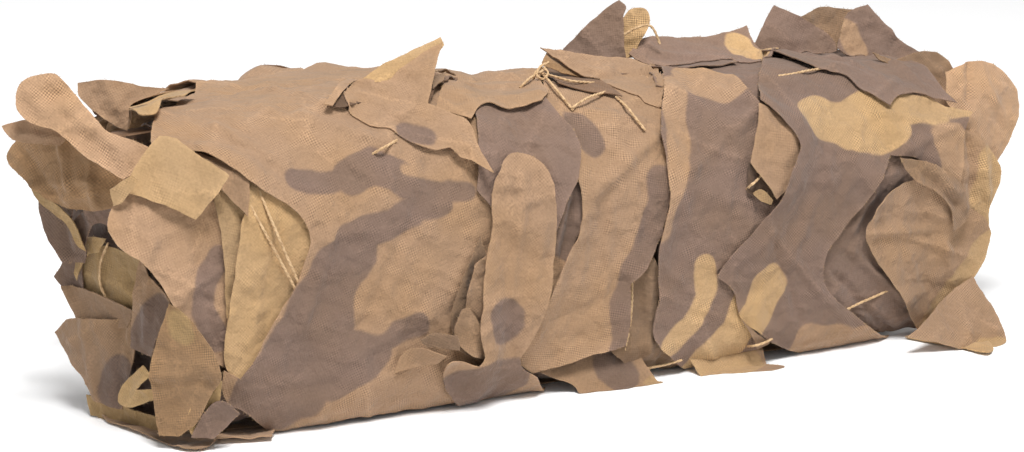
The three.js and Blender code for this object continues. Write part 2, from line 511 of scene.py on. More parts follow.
@dataclass
class Sight:
    """Finds places on the roll from the pixels where the camera sees them."""

    camera: PhotoCamera
    roll: RollForm
    tries: int = 8
    stride: float = 12.0
    probe: float = 0.5
    damping: float = 0.01
    along: tuple[float, float, float] = (-390.0, 400.0, 6.0)
    around: tuple[float, float, float] = (-10.0, 330.0, 4.0)
    spots: Array = field(init=False)
    seen: Array = field(init=False)

    def __post_init__(self) -> None:
        """Samples the part of the roll, and of its run past both ends, that faces the camera."""
        x, girth = np.meshgrid(np.arange(*self.along), np.arange(*self.around))
        spots = np.stack([x.ravel(), girth.ravel()], axis=-1)
        points, normals = self.roll.shell(spots)
        facing = np.einsum("ij,ij->i", normals, self.camera.eye() - points) > 0
        self.spots = spots[facing]
        self.seen = self.camera.pixels(points[facing])

    def on_roll(self, pixel: Sequence[float], lift: float) -> Array:
        """The x and girth seen at a pixel, for something held lift mm off the roll.

        Args:
            pixel: Where it shows.
            lift: Its height above the surface in mm.

        Returns:
            Its x and girth in mm.
        """
        goal = np.array(pixel, float)
        nearest = int(np.argmin(np.sum((self.seen - goal) ** 2, axis=1)))
        spot = self.spots[nearest].copy()
        probes = self.probe * np.array([[0.0, 0.0], [1.0, 0.0], [0.0, 1.0]])
        for _ in range(self.tries):
            seen = self.camera.pixels(self.roll.surface(spot + probes, lift))
            slope = (seen[1:] - seen[0]).T / self.probe
            damped = slope.T @ slope + self.damping * np.eye(2)
            move = np.linalg.solve(damped, slope.T @ (goal - seen[0]))
            reach = float(np.linalg.norm(move))
            spot += move * min(1.0, self.stride / max(reach, TINY))
        return spot


@dataclass
class RollSeat:
    """The roll's own surface as the place where a leaf lies."""

    roll: RollForm
    sight: Sight

    def flat(self, corner: Corner, lift: float) -> Array:
        """A corner's place on the unrolled surface."""
        return np.array(corner.at) if corner.hidden else self.sight.on_roll(corner.at, lift + corner.lift)

    def solid(self, flat: Array, lift: Array) -> Array:
        """Flat places carried onto the roll, held off it by lift and kept above the floor."""
        return above_floor(self.roll.surface(flat, lift))


@dataclass
class PlaneSeat:
    """A plane as the place where a leaf stands off the roll, bent outwards where the roll is in its way."""

    plane: Plane
    roll: RollForm
    camera: PhotoCamera
    clearance: Heights
    tucked: bool = False
    end_reach: float = 12.0
    end_drop: float = 40.0
    blend: float = 1.6

    def frame(self) -> tuple[Array, Array, Array, Array]:
        """The plane's origin, its two flat directions and its facing."""
        origin = np.array([self.plane.x, self.plane.y, self.plane.z])
        return origin, *facing_axes(self.plane.azimuth, self.plane.tilt)

    def flat(self, corner: Corner, lift: float) -> Array:
        """A corner's place on the plane.

        Args:
            corner: The corner.
            lift: How far off the plane the leaf is held, in mm.

        Returns:
            Its flat place in mm.
        """
        if corner.hidden:
            return np.array(corner.at)
        origin, along, upward, facing = self.frame()
        eye, ray = self.camera.eye(), self.camera.ray(corner.at)
        reach = ((origin - eye) @ facing + lift + corner.lift) / (ray @ facing)
        gap = eye + reach * ray - origin
        return np.array([gap @ along, gap @ upward])

    def solid(self, flat: Array, lift: Array) -> Array:
        """Carries flat places onto the plane, pushed out where they would cut into the roll or the floor.

        Args:
            flat: Flat places in mm.
            lift: Their heights off the plane in mm.

        Returns:
            Points in mm.
        """
        origin, along, upward, facing = self.frame()
        points = origin + flat[:, :1] * along + flat[:, 1:] * upward + lift[:, None] * facing
        first, last = self.roll.sections[0].x, self.roll.sections[-1].x
        past = np.maximum(first - points[:, 0], points[:, 0] - last)
        near = past < self.end_reach
        if near.any() and not self.tucked:
            spots, heights = self.roll.spots_near(points[near])
            needed = self.clearance(spots) - self.end_drop * smoothstep(past[near], 0.0, self.end_reach)
            push = soft_max(heights, needed, self.blend) - heights
            points[near] += self.roll.shell(spots)[1] * push[:, None]
        return above_floor(points)


Seat = RollSeat | PlaneSeat


@dataclass
class LeafPile:
    """How high the leaves have piled up over the roll's unrolled surface, in mm."""

    low: tuple[float, float] = (-420.0, -160.0)
    high: tuple[float, float] = (430.0, 560.0)
    pitch: float = 2.0
    clearance: float = 1.1
    slack: float = 11.0
    slack_from: Range = (225.0, 300.0)
    slack_to: Range = (345.0, 440.0)
    margin: float = 24.0
    spread: int = 3
    ease: int = 6
    ease_width: float = 2.4
    heights: Array = field(init=False)

    def __post_init__(self) -> None:
        """Starts with the bare roll, which lies slack over its back shoulder."""
        size = [round((b - a) / self.pitch) + 1 for a, b in zip(self.low, self.high, strict=True)]
        girth = self.low[1] + self.pitch * np.arange(size[1])
        dip = smoothstep(girth, *self.slack_from) * (1 - smoothstep(girth, *self.slack_to))
        self.heights = np.tile(-self.slack * dip, (size[0], 1))

    def at(self, spots: Array, field_: Array | None = None) -> Array:
        """Reads a height field at places on the roll.

        Args:
            spots: Rows of x and girth.
            field_: The field to read, or the pile itself.

        Returns:
            Heights in mm.
        """
        grid = self.heights if field_ is None else field_
        places = (spots - np.array(self.low)) / self.pitch
        places = np.clip(places, 0.0, np.array(grid.shape) - 1.001)
        i, j = places.astype(int).T
        fi, fj = (places - places.astype(int)).T
        near = grid[i, j] * (1 - fj) + grid[i, j + 1] * fj
        far = grid[i + 1, j] * (1 - fj) + grid[i + 1, j + 1] * fj
        return near * (1 - fi) + far * fi

    def window(self, outline: Array, margin: float) -> tuple[slice, slice, Array]:
        """The stretch of the grid round an outline.

        Args:
            outline: A leaf's flat outline.
            margin: How far past it to reach, in mm.

        Returns:
            The grid's two slices, and the places of its points.
        """
        low, last_row = np.array(self.low), np.array(self.heights.shape) - 1
        first = np.floor((outline.min(axis=0) - margin - low) / self.pitch).astype(int)
        last = np.ceil((outline.max(axis=0) + margin - low) / self.pitch).astype(int)
        first = np.clip(first, 0, last_row - 1)
        last = np.clip(last, first + 1, last_row)
        rows, columns = (slice(a, b + 1) for a, b in zip(first, last, strict=True))
        x, girth = np.mgrid[rows, columns]
        places = np.stack([x.ravel(), girth.ravel()], axis=-1) * self.pitch + low
        return rows, columns, places

    def drape(self, outline: Array) -> Array:
        """The heights at which a leaf of that outline comes to rest, eased over the edges below it.

        Args:
            outline: The leaf's flat outline.

        Returns:
            A field as large as the pile.
        """
        rows, columns, _ = self.window(outline, self.margin)
        under = self.heights[rows, columns]
        for axis in (0, 1):
            shifts = range(-self.spread, self.spread + 1)
            under = np.maximum.reduce([np.roll(under, shift, axis) for shift in shifts])
        kernel = np.exp(-0.5 * (np.arange(-self.ease, self.ease + 1) / self.ease_width) ** 2)
        kernel /= kernel.sum()
        for axis in (0, 1):
            margins = [(self.ease, self.ease) if a == axis else (0, 0) for a in (0, 1)]
            padded = np.pad(under, margins, mode="edge")
            under = np.apply_along_axis(np.convolve, axis, padded, kernel, "valid")
        rest = self.heights.copy()
        rest[rows, columns] = np.maximum(under, self.heights[rows, columns]) + self.clearance
        return rest

    def cover(self, outline: Array, top: Heights) -> None:
        """Adds a leaf to the pile.

        Args:
            outline: Its flat outline.
            top: Gives its height at places on the roll.
        """
        rows, columns, places = self.window(outline, 0.0)
        before = self.heights[rows, columns]
        inside = within(places, outline).reshape(before.shape)
        tops = top(places).reshape(before.shape)
        self.heights[rows, columns] = np.where(inside, np.maximum(before, tops), before)


def within(places: Array, outline: Array) -> Array:
    """Tells which places lie inside a closed outline.

    Args:
        places: Rows of two coordinates.
        outline: The outline's points in order.

    Returns:
        True for each place inside.
    """
    inside = np.zeros(len(places), bool)
    for (ax, ay), (bx, by) in zip(outline, np.roll(outline, -1, axis=0), strict=True):
        if ay == by:
            continue
        crosses = (ay > places[:, 1]) != (by > places[:, 1])
        inside ^= crosses & (places[:, 0] < (bx - ax) * (places[:, 1] - ay) / (by - ay) + ax)
    return inside


def edge_distance(places: Array, line: Array) -> Array:
    """The distance from places to a line of straight legs.

    Args:
        places: Rows of two coordinates.
        line: The line's points.

    Returns:
        Distances in mm.
    """
    best = np.full(len(places), np.inf)
    for a, b in zip(line[:-1], line[1:], strict=True):
        leg = b - a
        share = np.clip(((places - a) @ leg) / max(leg @ leg, TINY), 0.0, 1.0)
        best = np.minimum(best, np.linalg.norm(places - a - share[:, None] * leg, axis=1))
    return best


def signed_area(outline: Array) -> float:
    """The area inside an outline, above 0 where it runs counter-clockwise."""
    x, y = outline.T
    return float(np.sum(x * np.roll(y, -1) - y * np.roll(x, -1))) / 2


def turned_outline(points: Array, rounded: Sequence[bool], step: float = 2.5) -> Array:
    """Runs a closed outline through corners, straight between sharp ones and curved through rounded ones.

    Args:
        points: The corners in order.
        rounded: Whether each corner lies on a round stretch.
        step: The spacing of the outline's points in mm.

    Returns:
        The outline's points, counter-clockwise.
    """
    count = len(points)
    made = []
    for i in range(count):
        a, b = points[i], points[(i + 1) % count]
        before, after = points[i - 1], points[(i + 2) % count]
        reach = np.linalg.norm(b - a)
        leave = unit(b - before) * reach if rounded[i] else b - a
        arrive = unit(after - a) * reach if rounded[(i + 1) % count] else b - a
        made.append(curve(a, leave, b, arrive, max(2, math.ceil(reach / step))))
    outline = np.concatenate(made)
    return outline if signed_area(outline) > 0 else outline[::-1]


def worn_edge(
    outline: Array, seed: int, depth: float = 0.12, lengths: Sequence[float] = (1.7, 3.7, 8.3)
) -> Array:
    """Makes a cut edge slightly uneven.

    Args:
        outline: The clean outline.
        seed: Sets the unevenness.
        depth: How far the edge wanders, in mm.
        lengths: The lengths of its waves, in mm for each radian.

    Returns:
        The outline with its points moved in and out.
    """
    legs = units(np.roll(outline, -1, axis=0) - np.roll(outline, 1, axis=0))
    run = np.cumsum(np.linalg.norm(np.diff(outline, axis=0, prepend=outline[:1]), axis=1))
    phases = np.random.default_rng(seed + Draw.EDGE).uniform(0, FULL_TURN, len(lengths))
    wave = sum(np.sin(run / length + phase) for length, phase in zip(lengths, phases, strict=True))
    return outline + depth * wave[:, None] * np.stack([legs[:, 1], -legs[:, 0]], axis=-1)


def waved(flat: Array, lengths: Range, phase: float) -> Array:
    """A share that waves gently over a sheet, from 0.2 to 1."""
    return 0.6 + 0.4 * np.sin(flat[:, 0] / lengths[0] + phase) * np.sin(flat[:, 1] / lengths[1] + 2 * phase)


@dataclass
class Wrinkles:
    """The shallow creases of stiff cut cloth: a few families of thin ridges, each fading in and out."""

    seed: int
    height: float = 0.8
    families: int = 6
    shortest: float = 16.0
    longest: float = 60.0
    strengths: Range = (0.4, 1.0)
    sharpness: float = 2.4
    sway: float = 5.0
    sway_length: float = 31.0
    waver: float = 2.2
    waver_length: float = 11.0
    beat_lengths: Range = (34.0, 47.0)
    beat_range: Range = (-0.2, 1.2)
    rows: Array = field(init=False)

    def __post_init__(self) -> None:
        """Draws each family's direction, spacing, two phases and strength."""
        draw = np.random.default_rng(self.seed)
        turn = (0.0, FULL_TURN)
        ranges = ((0.0, math.pi), (self.shortest, self.longest), turn, turn, self.strengths)
        self.rows = np.stack([draw.uniform(*span, self.families) for span in ranges], axis=-1)

    def __call__(self, flat: Array) -> Array:
        """The wrinkles' height at flat places.

        Args:
            flat: Rows of flat coordinates in mm.

        Returns:
            Heights in mm, 0 or more.
        """
        total = np.zeros(len(flat))
        for angle, spacing, phase, drift, strength in self.rows:
            along, across = flat @ heading(angle), flat @ sideways(heading(angle))
            bent = along + self.sway * np.sin(across / self.sway_length + drift)
            bent = bent + self.waver * np.sin(across / self.waver_length + phase)
            ridge = (1 - np.abs(np.sin(math.pi * bent / spacing + phase))) ** self.sharpness
            first, second = self.beat_lengths
            beat = np.sin(across / first + drift) + np.sin(along / second + phase)
            total += strength * ridge * smoothstep(beat, *self.beat_range) * spacing / self.longest
        return self.height * total


@dataclass(frozen=True)
class Fold:
    """One straight crease: its middle, its direction, its reach to both ends, its breadth and its height."""

    middle: Array
    along: Array
    reach: float
    breadth: float
    lift: float
    ending: float = 0.5

    def share(self, flat: Array, breadth: float) -> Array:
        """How strongly the crease shows at flat places over a breadth, from 0 to 1."""
        gap = flat - self.middle
        out, side = np.abs(gap @ self.along), np.abs(gap @ sideways(self.along))
        return np.clip(1 - side / breadth, 0, 1) * smoothstep(1 - out / self.reach, 0.0, self.ending)


@dataclass
class FoldLines:
    """The sharp straight creases that are left in cloth by folding it up, each ending softly."""

    outline: Array
    seed: int
    height: float
    area_each: float = 520.0
    most: int = 64
    worn_breadth: float = 2.2
    reaches: Range = (9.0, 44.0)
    breadths: Range = (2.6, 7.5)
    ways: Range = (-0.7, 1.0)
    strengths: Range = (0.5, 1.0)
    folds: list[Fold] = field(default_factory=list)

    def __post_init__(self) -> None:
        """Draws each crease's direction, reach, breadth, height and middle."""
        draw = np.random.default_rng(self.seed)
        low, high = self.outline.min(axis=0), self.outline.max(axis=0)
        for _ in range(min(self.most, 1 + int(np.prod(high - low) / self.area_each))):
            along = heading(draw.uniform(0, math.pi))
            reach, breadth = draw.uniform(*self.reaches), draw.uniform(*self.breadths)
            lift = draw.choice(self.ways) * draw.uniform(*self.strengths) * breadth / self.breadths[1]
            self.folds.append(Fold(draw.uniform(low, high), along, reach, breadth, lift))

    def __call__(self, flat: Array) -> Array:
        """The creases' height at flat places, in mm."""
        return self.height * sum(fold.lift * fold.share(flat, fold.breadth) for fold in self.folds)

    def worn(self, flat: Array) -> Array:
        """How strongly the colour is lightened along the creases that stand up, from 0 to 1."""
        shares = [fold.share(flat, self.worn_breadth) for fold in self.folds if fold.lift > 0]
        return np.maximum.reduce([np.zeros(len(flat)), *shares])


class Value:
    """A shader socket that adds Math nodes as it is used in an expression."""

    def __init__(self, shader: Shader, socket: bpy.types.NodeSocket) -> None:
        """Wraps an output socket of a shader."""
        self.shader = shader
        self.socket = socket

    def math(self, operation: str, *others: Value | float) -> Value:
        """Adds one Math node with this value first."""
        return self.shader.node("ShaderNodeMath", {"operation": operation}, dict(enumerate((self, *others))))

    def __add__(self, other: Value | float) -> Value:
        """Adds."""
        return self.math("ADD", other)

    __radd__ = __add__

    def __mul__(self, other: Value | float) -> Value:
        """Multiplies."""
        return self.math("MULTIPLY", other)

    __rmul__ = __mul__

    def __sub__(self, other: Value | float) -> Value:
        """Subtracts."""
        return self.math("SUBTRACT", other)

    def __rsub__(self, other: float) -> Value:
        """Subtracts this from a number."""
        return self.shader.node("ShaderNodeMath", {"operation": "SUBTRACT"}, {0: other, 1: self})

    def eased(self, low: float, high: float) -> Value:
        """Eases from 0 at low to 1 at high."""
        inputs = {"Value": self, "From Min": low, "From Max": high}
        return self.shader.node("ShaderNodeMapRange", {"interpolation_type": "SMOOTHSTEP"}, inputs)


Input = Value | float | tuple[float, ...]


class Shader:
    """A material's node tree, with one Principled shader at its end."""

    def __init__(self, name: str) -> None:
        """Starts a material of that name."""
        self.material = bpy.data.materials.new(name)
        self.material.use_nodes = True
        self.tree = self.material.node_tree
        self.principled = self.tree.nodes["Principled BSDF"]

    def node(
        self, kind: str, settings: dict[str, object], inputs: dict[str | int, Input], output: str | int = 0
    ) -> Value:
        """Adds a node.

        Args:
            kind: The node's type.
            settings: Properties that are set first.
            inputs: Values or links by socket name or number.
            output: The output to hand on.

        Returns:
            The output as a value.
        """
        made = self.tree.nodes.new(kind)
        for key, value in settings.items():
            setattr(made, key, value)
        for key, value in inputs.items():
            self.feed(made.inputs[key], value)
        return Value(self, made.outputs[output])

    def feed(self, socket: bpy.types.NodeSocket, value: Input) -> None:
        """Links a value to a socket, or sets it."""
        if isinstance(value, Value):
            self.tree.links.new(value.socket, socket)
        else:
            socket.default_value = value

    def finish(self, inputs: dict[str, Input]) -> Material:
        """Feeds the Principled shader and hands over the material."""
        for key, value in inputs.items():
            self.feed(self.principled.inputs[key], value)
        return self.material

    def attribute(self, name: str) -> Value:
        """A number painted on the mesh."""
        return self.node("ShaderNodeAttribute", {"attribute_name": name}, {}, "Fac")

    def noise(self, vector: Value, scale: float, detail: float = 3.0) -> Value:
        """A soft noise from 0 to 1."""
        return self.node("ShaderNodeTexNoise", {}, {"Vector": vector, "Scale": scale, "Detail": detail})

    def mix(self, factor: Input, a: Input, b: Input, blend: str = "MIX") -> Value:
        """Mixes two colours."""
        settings = {"data_type": "RGBA", "blend_type": blend}
        return self.node("ShaderNodeMix", settings, {0: factor, 6: a, 7: b}, 2)


Colour = tuple[float, float, float, float]


def srgb(red: int, green: int, blue: int) -> Colour:
    """A colour from its usual 0 to 255 parts, as light."""
    parts = [c / 255 for c in (red, green, blue)]
    light = [c / 12.92 if c <= 0.04045 else ((c + 0.055) / 1.055) ** 2.4 for c in parts]
    return light[0], light[1], light[2], 1.0


@dataclass(frozen=True)
class ClothFinish:
    """Printed waffle-weave cloth: soft-edged patches of three colours, ribs of yarn, dust, and light and
    shade painted in by each piece's own shading number.
    """

    name: str
    tan: Colour
    mauve: Colour
    sand: Colour
    sallow: Colour = (1.02, 0.97, 0.82, 1.0)
    sallow_share: float = 0.6
    rib_mm: float = 2.1
    rib_shade: float = 0.66
    rib_sway: float = 0.003
    sway_scale: float = 60.0
    cloud_scale: float = 34.0
    mottle_scale: float = 120.0
    speckle_scale: float = 620.0
    bare_scale: float = 150.0
    drift_scale: float = 19.0
    cloud_shade: float = 0.34
    speckle_shade: float = 0.42
    mottle_shade: float = 0.2
    worn_shade: float = 0.26
    rim_shade: float = 0.17
    print_edge: float = 1.3
    print_wander: float = 2.4
    facets: tuple[Range, ...] = ((46.0, 0.0036), (118.0, 0.0012))
    rumples: tuple[Range, ...] = ((27.0, 0.0075), (71.0, 0.0026))
    rib_depth: float = 0.00024
    mottle_depth: float = 0.0016
    speckle_depth: float = 0.00016
    bump: float = 0.75
    roughness: float = 0.9
    rough_share: float = 0.12
    sheen: float = 0.12

    def material(self) -> Material:
        """Makes the material.

        Returns:
            A material that reads the piece's flat UV map and its painted numbers.
        """
        shader = Shader(self.name)
        flat = shader.node("ShaderNodeUVMap", {"uv_map": "flat"}, {})
        rib = self.ribs(shader, flat)
        cloudy = shader.noise(flat, self.cloud_scale, 4.0)
        speckle = shader.noise(flat, self.speckle_scale, 2.0)
        mottle = shader.noise(flat, self.mottle_scale, 4.0)
        waffle = shader.attribute("waffle")
        bare = shader.noise(flat, self.bare_scale).eased(0.36, 0.64)
        shown = waffle * cloudy.eased(0.37, 0.62) * bare
        shade = (rib - 0.5) * shown * (2 * self.rib_shade) + (cloudy - 0.5) * self.cloud_shade
        shade = shade + (speckle - 0.5) * self.speckle_shade + (mottle - 0.5) * self.mottle_shade
        # Lightens the colour along the raised creases.
        shade = shade + shader.attribute("worn") * speckle.eased(0.3, 0.6) * self.worn_shade + 1.0
        # The painted shading darkens and lightens the colour here, as shade and light on the piece.
        shade = (shade + shader.attribute("rim") * self.rim_shade) * shader.attribute("fade")
        grey = shader.node("ShaderNodeCombineColor", {}, {0: shade, 1: shade, 2: shade})
        colour = shader.mix(1.0, self.printed(shader, flat, mottle), grey, "MULTIPLY")
        relief = rib * (waffle * 0.8 + 0.2) * self.rib_depth + mottle * self.mottle_depth
        relief = relief + speckle * self.speckle_depth
        for scale, depth in self.facets:
            relief = relief + self.crumpled(shader, flat, scale) * depth * cloudy.eased(0.3, 0.65)
        for scale, depth in self.rumples:
            relief = relief + self.rumpled(shader, flat, scale) * depth
        inputs = {"Strength": self.bump, "Distance": 1.0, "Height": relief}
        return shader.finish({
            "Base Color": colour,
            "Roughness": (cloudy - 0.5) * self.rough_share + self.roughness,
            "Normal": shader.node("ShaderNodeBump", {}, inputs),
            "Sheen Weight": self.sheen,
        })

    def ribs(self, shader: Shader, flat: Value) -> Value:
        """Weaves the waffle of crossing ribs.

        Args:
            shader: The material's shader.
            flat: The flat map.

        Returns:
            A number from 0 in the pits to 1.
        """
        turn = 2 * math.pi / (self.rib_mm * MM)
        sway = shader.noise(flat, self.sway_scale, 1.0) * self.rib_sway
        along = shader.node("ShaderNodeSeparateXYZ", {}, {0: flat})
        across = Value(shader, along.socket.node.outputs[1])
        warp, weft = (((side + sway) * turn).math("SINE") for side in (along, across))
        return warp * weft * 0.5 + 0.5

    def printed(self, shader: Shader, flat: Value, mottle: Value) -> Value:
        """Mixes the print's colours, with wandering edges and a yellowish drift.

        Args:
            shader: The material's shader.
            flat: The flat map.
            mottle: The noise that moves the edges.

        Returns:
            The printed colour.
        """
        wander = (mottle - 0.5) * self.print_wander
        colour: Input = self.tan
        for name, ink in (("mauve", self.mauve), ("sand", self.sand)):
            inside = (shader.attribute(name) + wander).eased(-self.print_edge, self.print_edge)
            colour = shader.mix(inside, colour, ink)
        drift = shader.noise(flat, self.drift_scale, 2.0).eased(0.35, 0.7) * self.sallow_share
        return shader.mix(drift, colour, shader.mix(1.0, colour, self.sallow, "MULTIPLY"))

    def crumpled(self, shader: Shader, flat: Value, scale: float) -> Value:
        """Facets with sharp creases between them, as in cloth that has been crushed."""
        inputs = {"Vector": flat, "Scale": scale}
        return shader.node("ShaderNodeTexVoronoi", {"feature": "F1"}, inputs, "Distance")

    def rumpled(self, shader: Shader, flat: Value, scale: float) -> Value:
        """Soft swellings that meet in sharp valleys."""
        return (shader.noise(flat, scale, 1.0) - 0.5).math("ABSOLUTE")


@dataclass(frozen=True)
class CordFinish:
    """Cream twisted cord with a dusty, uneven colour."""

    name: str
    light: Colour
    dark: Colour
    roughness: float = 0.92
    bump: float = 0.5
    bump_depth: float = 0.0003

    def material(self) -> Material:
        """Makes the material."""
        shader = Shader(self.name)
        place = shader.node("ShaderNodeTexCoord", {}, {}, "Object")
        dust = shader.noise(place, 420.0, 3.0)
        colour = shader.mix(dust.eased(0.35, 0.75), self.light, self.dark)
        inputs = {"Strength": self.bump, "Distance": self.bump_depth, "Height": dust}
        normal = shader.node("ShaderNodeBump", {}, inputs)
        return shader.finish({"Base Color": colour, "Roughness": self.roughness, "Normal": normal})


FACE_CLOTH = ClothFinish("printed_face", srgb(150, 120, 93), srgb(114, 92, 79), srgb(168, 137, 99))
BACK_CLOTH = ClothFinish("cloth_underside", srgb(156, 122, 87), srgb(126, 101, 78), srgb(168, 138, 96))
# The inside's cloth: the face's cloth painted darker, as the shade that falls inside the roll and in gaps.
SHADED_WOUND_CLOTH = ClothFinish("wound_cloth", srgb(128, 98, 74), srgb(96, 77, 67), srgb(142, 112, 80))
CREAM_CORD = CordFinish("cream_cord", srgb(204, 172, 132), srgb(166, 133, 96))
LOOSE_THREAD = CordFinish("loose_thread", srgb(172, 142, 104), srgb(140, 112, 84))


@dataclass
class Workshop:
    """What every piece needs: the camera's sight, the roll's form, the pile of leaves and the materials."""

    camera: PhotoCamera
    roll: RollForm
    sight: Sight
    pile: LeafPile
    face: Material
    back: Material
    # The darker cloth, which paints the shade inside the roll.
    wound: Material
    cord: Material
    thread: Material
    pieces: list[str] = field(default_factory=list)

    def record(self, obj: Piece, slot: Slot, nodes: Sequence[str] = ()) -> None:
        """Ties a finished piece to the body and hides the nodes that it stands for.

        Args:
            obj: The piece.
            slot: Its finish; not used.
            nodes: The CAD nodes that it replaces.
        """
        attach(obj, BODY)
        if nodes:
            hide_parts(*nodes)
        self.pieces.append(obj.name)
        LOG.info("%s: %d faces", obj.name, len(obj.data.polygons))


def mesh_from(made: bmesh.types.BMesh, name: str) -> Mesh:
    """Writes a bmesh into a new mesh of that name and frees it."""
    mesh = bpy.data.meshes.new(name)
    made.to_mesh(mesh)
    made.free()
    return mesh


def mesh_object(name: str, mesh: Mesh, materials: Sequence[Material]) -> Piece:
    """Links a mesh into the scene as a piece.

    Args:
        name: The piece's name.
        mesh: Its mesh.
        materials: Its materials in slot order.

    Returns:
        The new object, at the origin.
    """
    for material in materials:
        mesh.materials.append(material)
    mesh.polygons.foreach_set("use_smooth", [True] * len(mesh.polygons))
    obj = bpy.data.objects.new(name, mesh)
    bpy.context.scene.collection.objects.link(obj)
    return obj


def flat_places(mesh: Mesh) -> Array:
    """The first two coordinates of a flat mesh's points."""
    places = np.zeros(len(mesh.vertices) * 3)
    mesh.vertices.foreach_get("co", places)
    return places.reshape(-1, 3)[:, :2]


def paint_mesh(mesh: Mesh, flat: Array, numbers: dict[str, Array]) -> None:
    """Writes the flat map and the painted numbers onto a mesh.

    Args:
        mesh: The mesh.
        flat: The flat place of each of its points, in mm.
        numbers: What to paint on its points, by name.
    """
    corners = np.zeros(len(mesh.loops), int)
    mesh.loops.foreach_get("vertex_index", corners)
    mesh.uv_layers.new(name="flat").data.foreach_set("uv", (flat * MM)[corners].ravel())
    for key, values in numbers.items():
        mesh.attributes.new(key, "FLOAT", "POINT").data.foreach_set("value", values.astype(np.float32))


def thicken(obj: Piece, thickness: float, underside: int = 0) -> None:
    """Gives a sheet its thickness in mm below its face, and its underside's material by number."""
    solidify = obj.modifiers.new("thickness", "SOLIDIFY")
    solidify.thickness = thickness * MM
    solidify.offset = -1.0
    solidify.material_offset = underside


def least_box(outline: Array, step: float = 3.0) -> tuple[float, float]:
    """The sides of the smallest turned rectangle round a flat outline.

    Args:
        outline: The outline's points in mm.
        step: The degrees between the turns that are tried.

    Returns:
        The two sides in mm.
    """
    best = (math.inf, math.inf)
    for angle in np.radians(np.arange(0.0, 90.0, step)):
        sides = np.ptp(outline @ turning(angle), axis=0)
        if sides[0] * sides[1] < best[0] * best[1]:
            best = (float(sides[0]), float(sides[1]))
    return best


@dataclass
class CutSheet:
    """A flat cut piece of cloth: its outline, the numbers painted on it and the way that it is carried."""

    name: str
    outline: Array
    cell: float
    seed: int
    waffle: float = 0.35
    # Scales the sheet's colour, to paint shade onto it where below 1 and light where above 1.
    fade: float = 1.0
    thickness: float = 0.7
    first_cell: float = 0.61
    cut_gap: float = 1e-4
    weld: float = 0.05
    rim_reach: float = 1.2
    shift: float = 900.0
    least_share: float = 0.31
    least_side: float = 10.0

    def flat_mesh(self) -> Mesh:
        """Cuts the outline and divides it into small cells.

        Returns:
            The flat mesh, in mm.
        """
        made = bmesh.new()
        made.faces.new([made.verts.new((x, y, 0.0)) for x, y in self.outline])
        for axis, side in enumerate((Vector((1.0, 0.0, 0.0)), Vector((0.0, 1.0, 0.0)))):
            low, high = self.outline[:, axis].min(), self.outline[:, axis].max()
            for level in np.arange(low + self.cell * self.first_cell, high, self.cell):
                everything = made.verts[:] + made.edges[:] + made.faces[:]
                bmesh.ops.bisect_plane(
                    made, geom=everything, dist=self.cut_gap, plane_co=side * float(level), plane_no=side
                )
        bmesh.ops.remove_doubles(made, verts=made.verts[:], dist=self.weld)
        return mesh_from(made, self.name)

    def closed(self) -> Array:
        """The outline with its first point again at its end."""
        return np.vstack([self.outline, self.outline[:1]])

    def build(self, carry: Heights, paint: Paint, materials: Sequence[Material]) -> Piece:
        """Makes the piece.

        Args:
            carry: Takes flat places to points in mm.
            paint: Gives the painted numbers at flat places.
            materials: The face's material and the underside's.

        Returns:
            The piece's object.
        """
        mesh = self.flat_mesh()
        flat = flat_places(mesh)
        mesh.vertices.foreach_set("co", (carry(flat) * MM).ravel())
        even = np.ones(len(flat))
        rim = np.exp(-edge_distance(flat, self.closed()) / self.rim_reach)
        # The sheet's shading number goes on each point, to paint shade and light into the colour.
        numbers = paint(flat) | {"waffle": self.waffle * even, "fade": self.fade * even, "rim": rim}
        paint_mesh(mesh, self.on_grain(flat), numbers)
        self.sharpen_rim(mesh)
        obj = mesh_object(self.name, mesh, materials)
        thicken(obj, self.thickness, underside=1)
        return obj

    def on_grain(self, flat: Array) -> Array:
        """Flat places moved and turned to the cloth's own grain."""
        angle = float(np.random.default_rng(self.seed + Draw.GRAIN).uniform(0, math.pi))
        shift = np.random.default_rng(self.seed + Draw.GRAIN_SHIFT).uniform(0, self.shift, 2)
        return (flat + shift) @ turning(angle)

    def sharpen_rim(self, mesh: Mesh) -> None:
        """Marks the cut edge as sharp, so that the face and the rim shade apart.

        Args:
            mesh: The carried sheet.
        """
        uses = np.zeros(len(mesh.edges), int)
        sides = np.zeros(len(mesh.loops), int)
        mesh.loops.foreach_get("edge_index", sides)
        np.add.at(uses, sides, 1)
        mesh.attributes.new("sharp_edge", "BOOLEAN", "EDGE").data.foreach_set("value", uses == 1)

    def declare(self) -> None:
        width, length = (max(side, self.least_side) * MM for side in least_box(self.outline))
        area = max(abs(signed_area(self.outline)) * MM * MM, self.least_share * width * length)


Band = tuple[Cloth, float, Array]


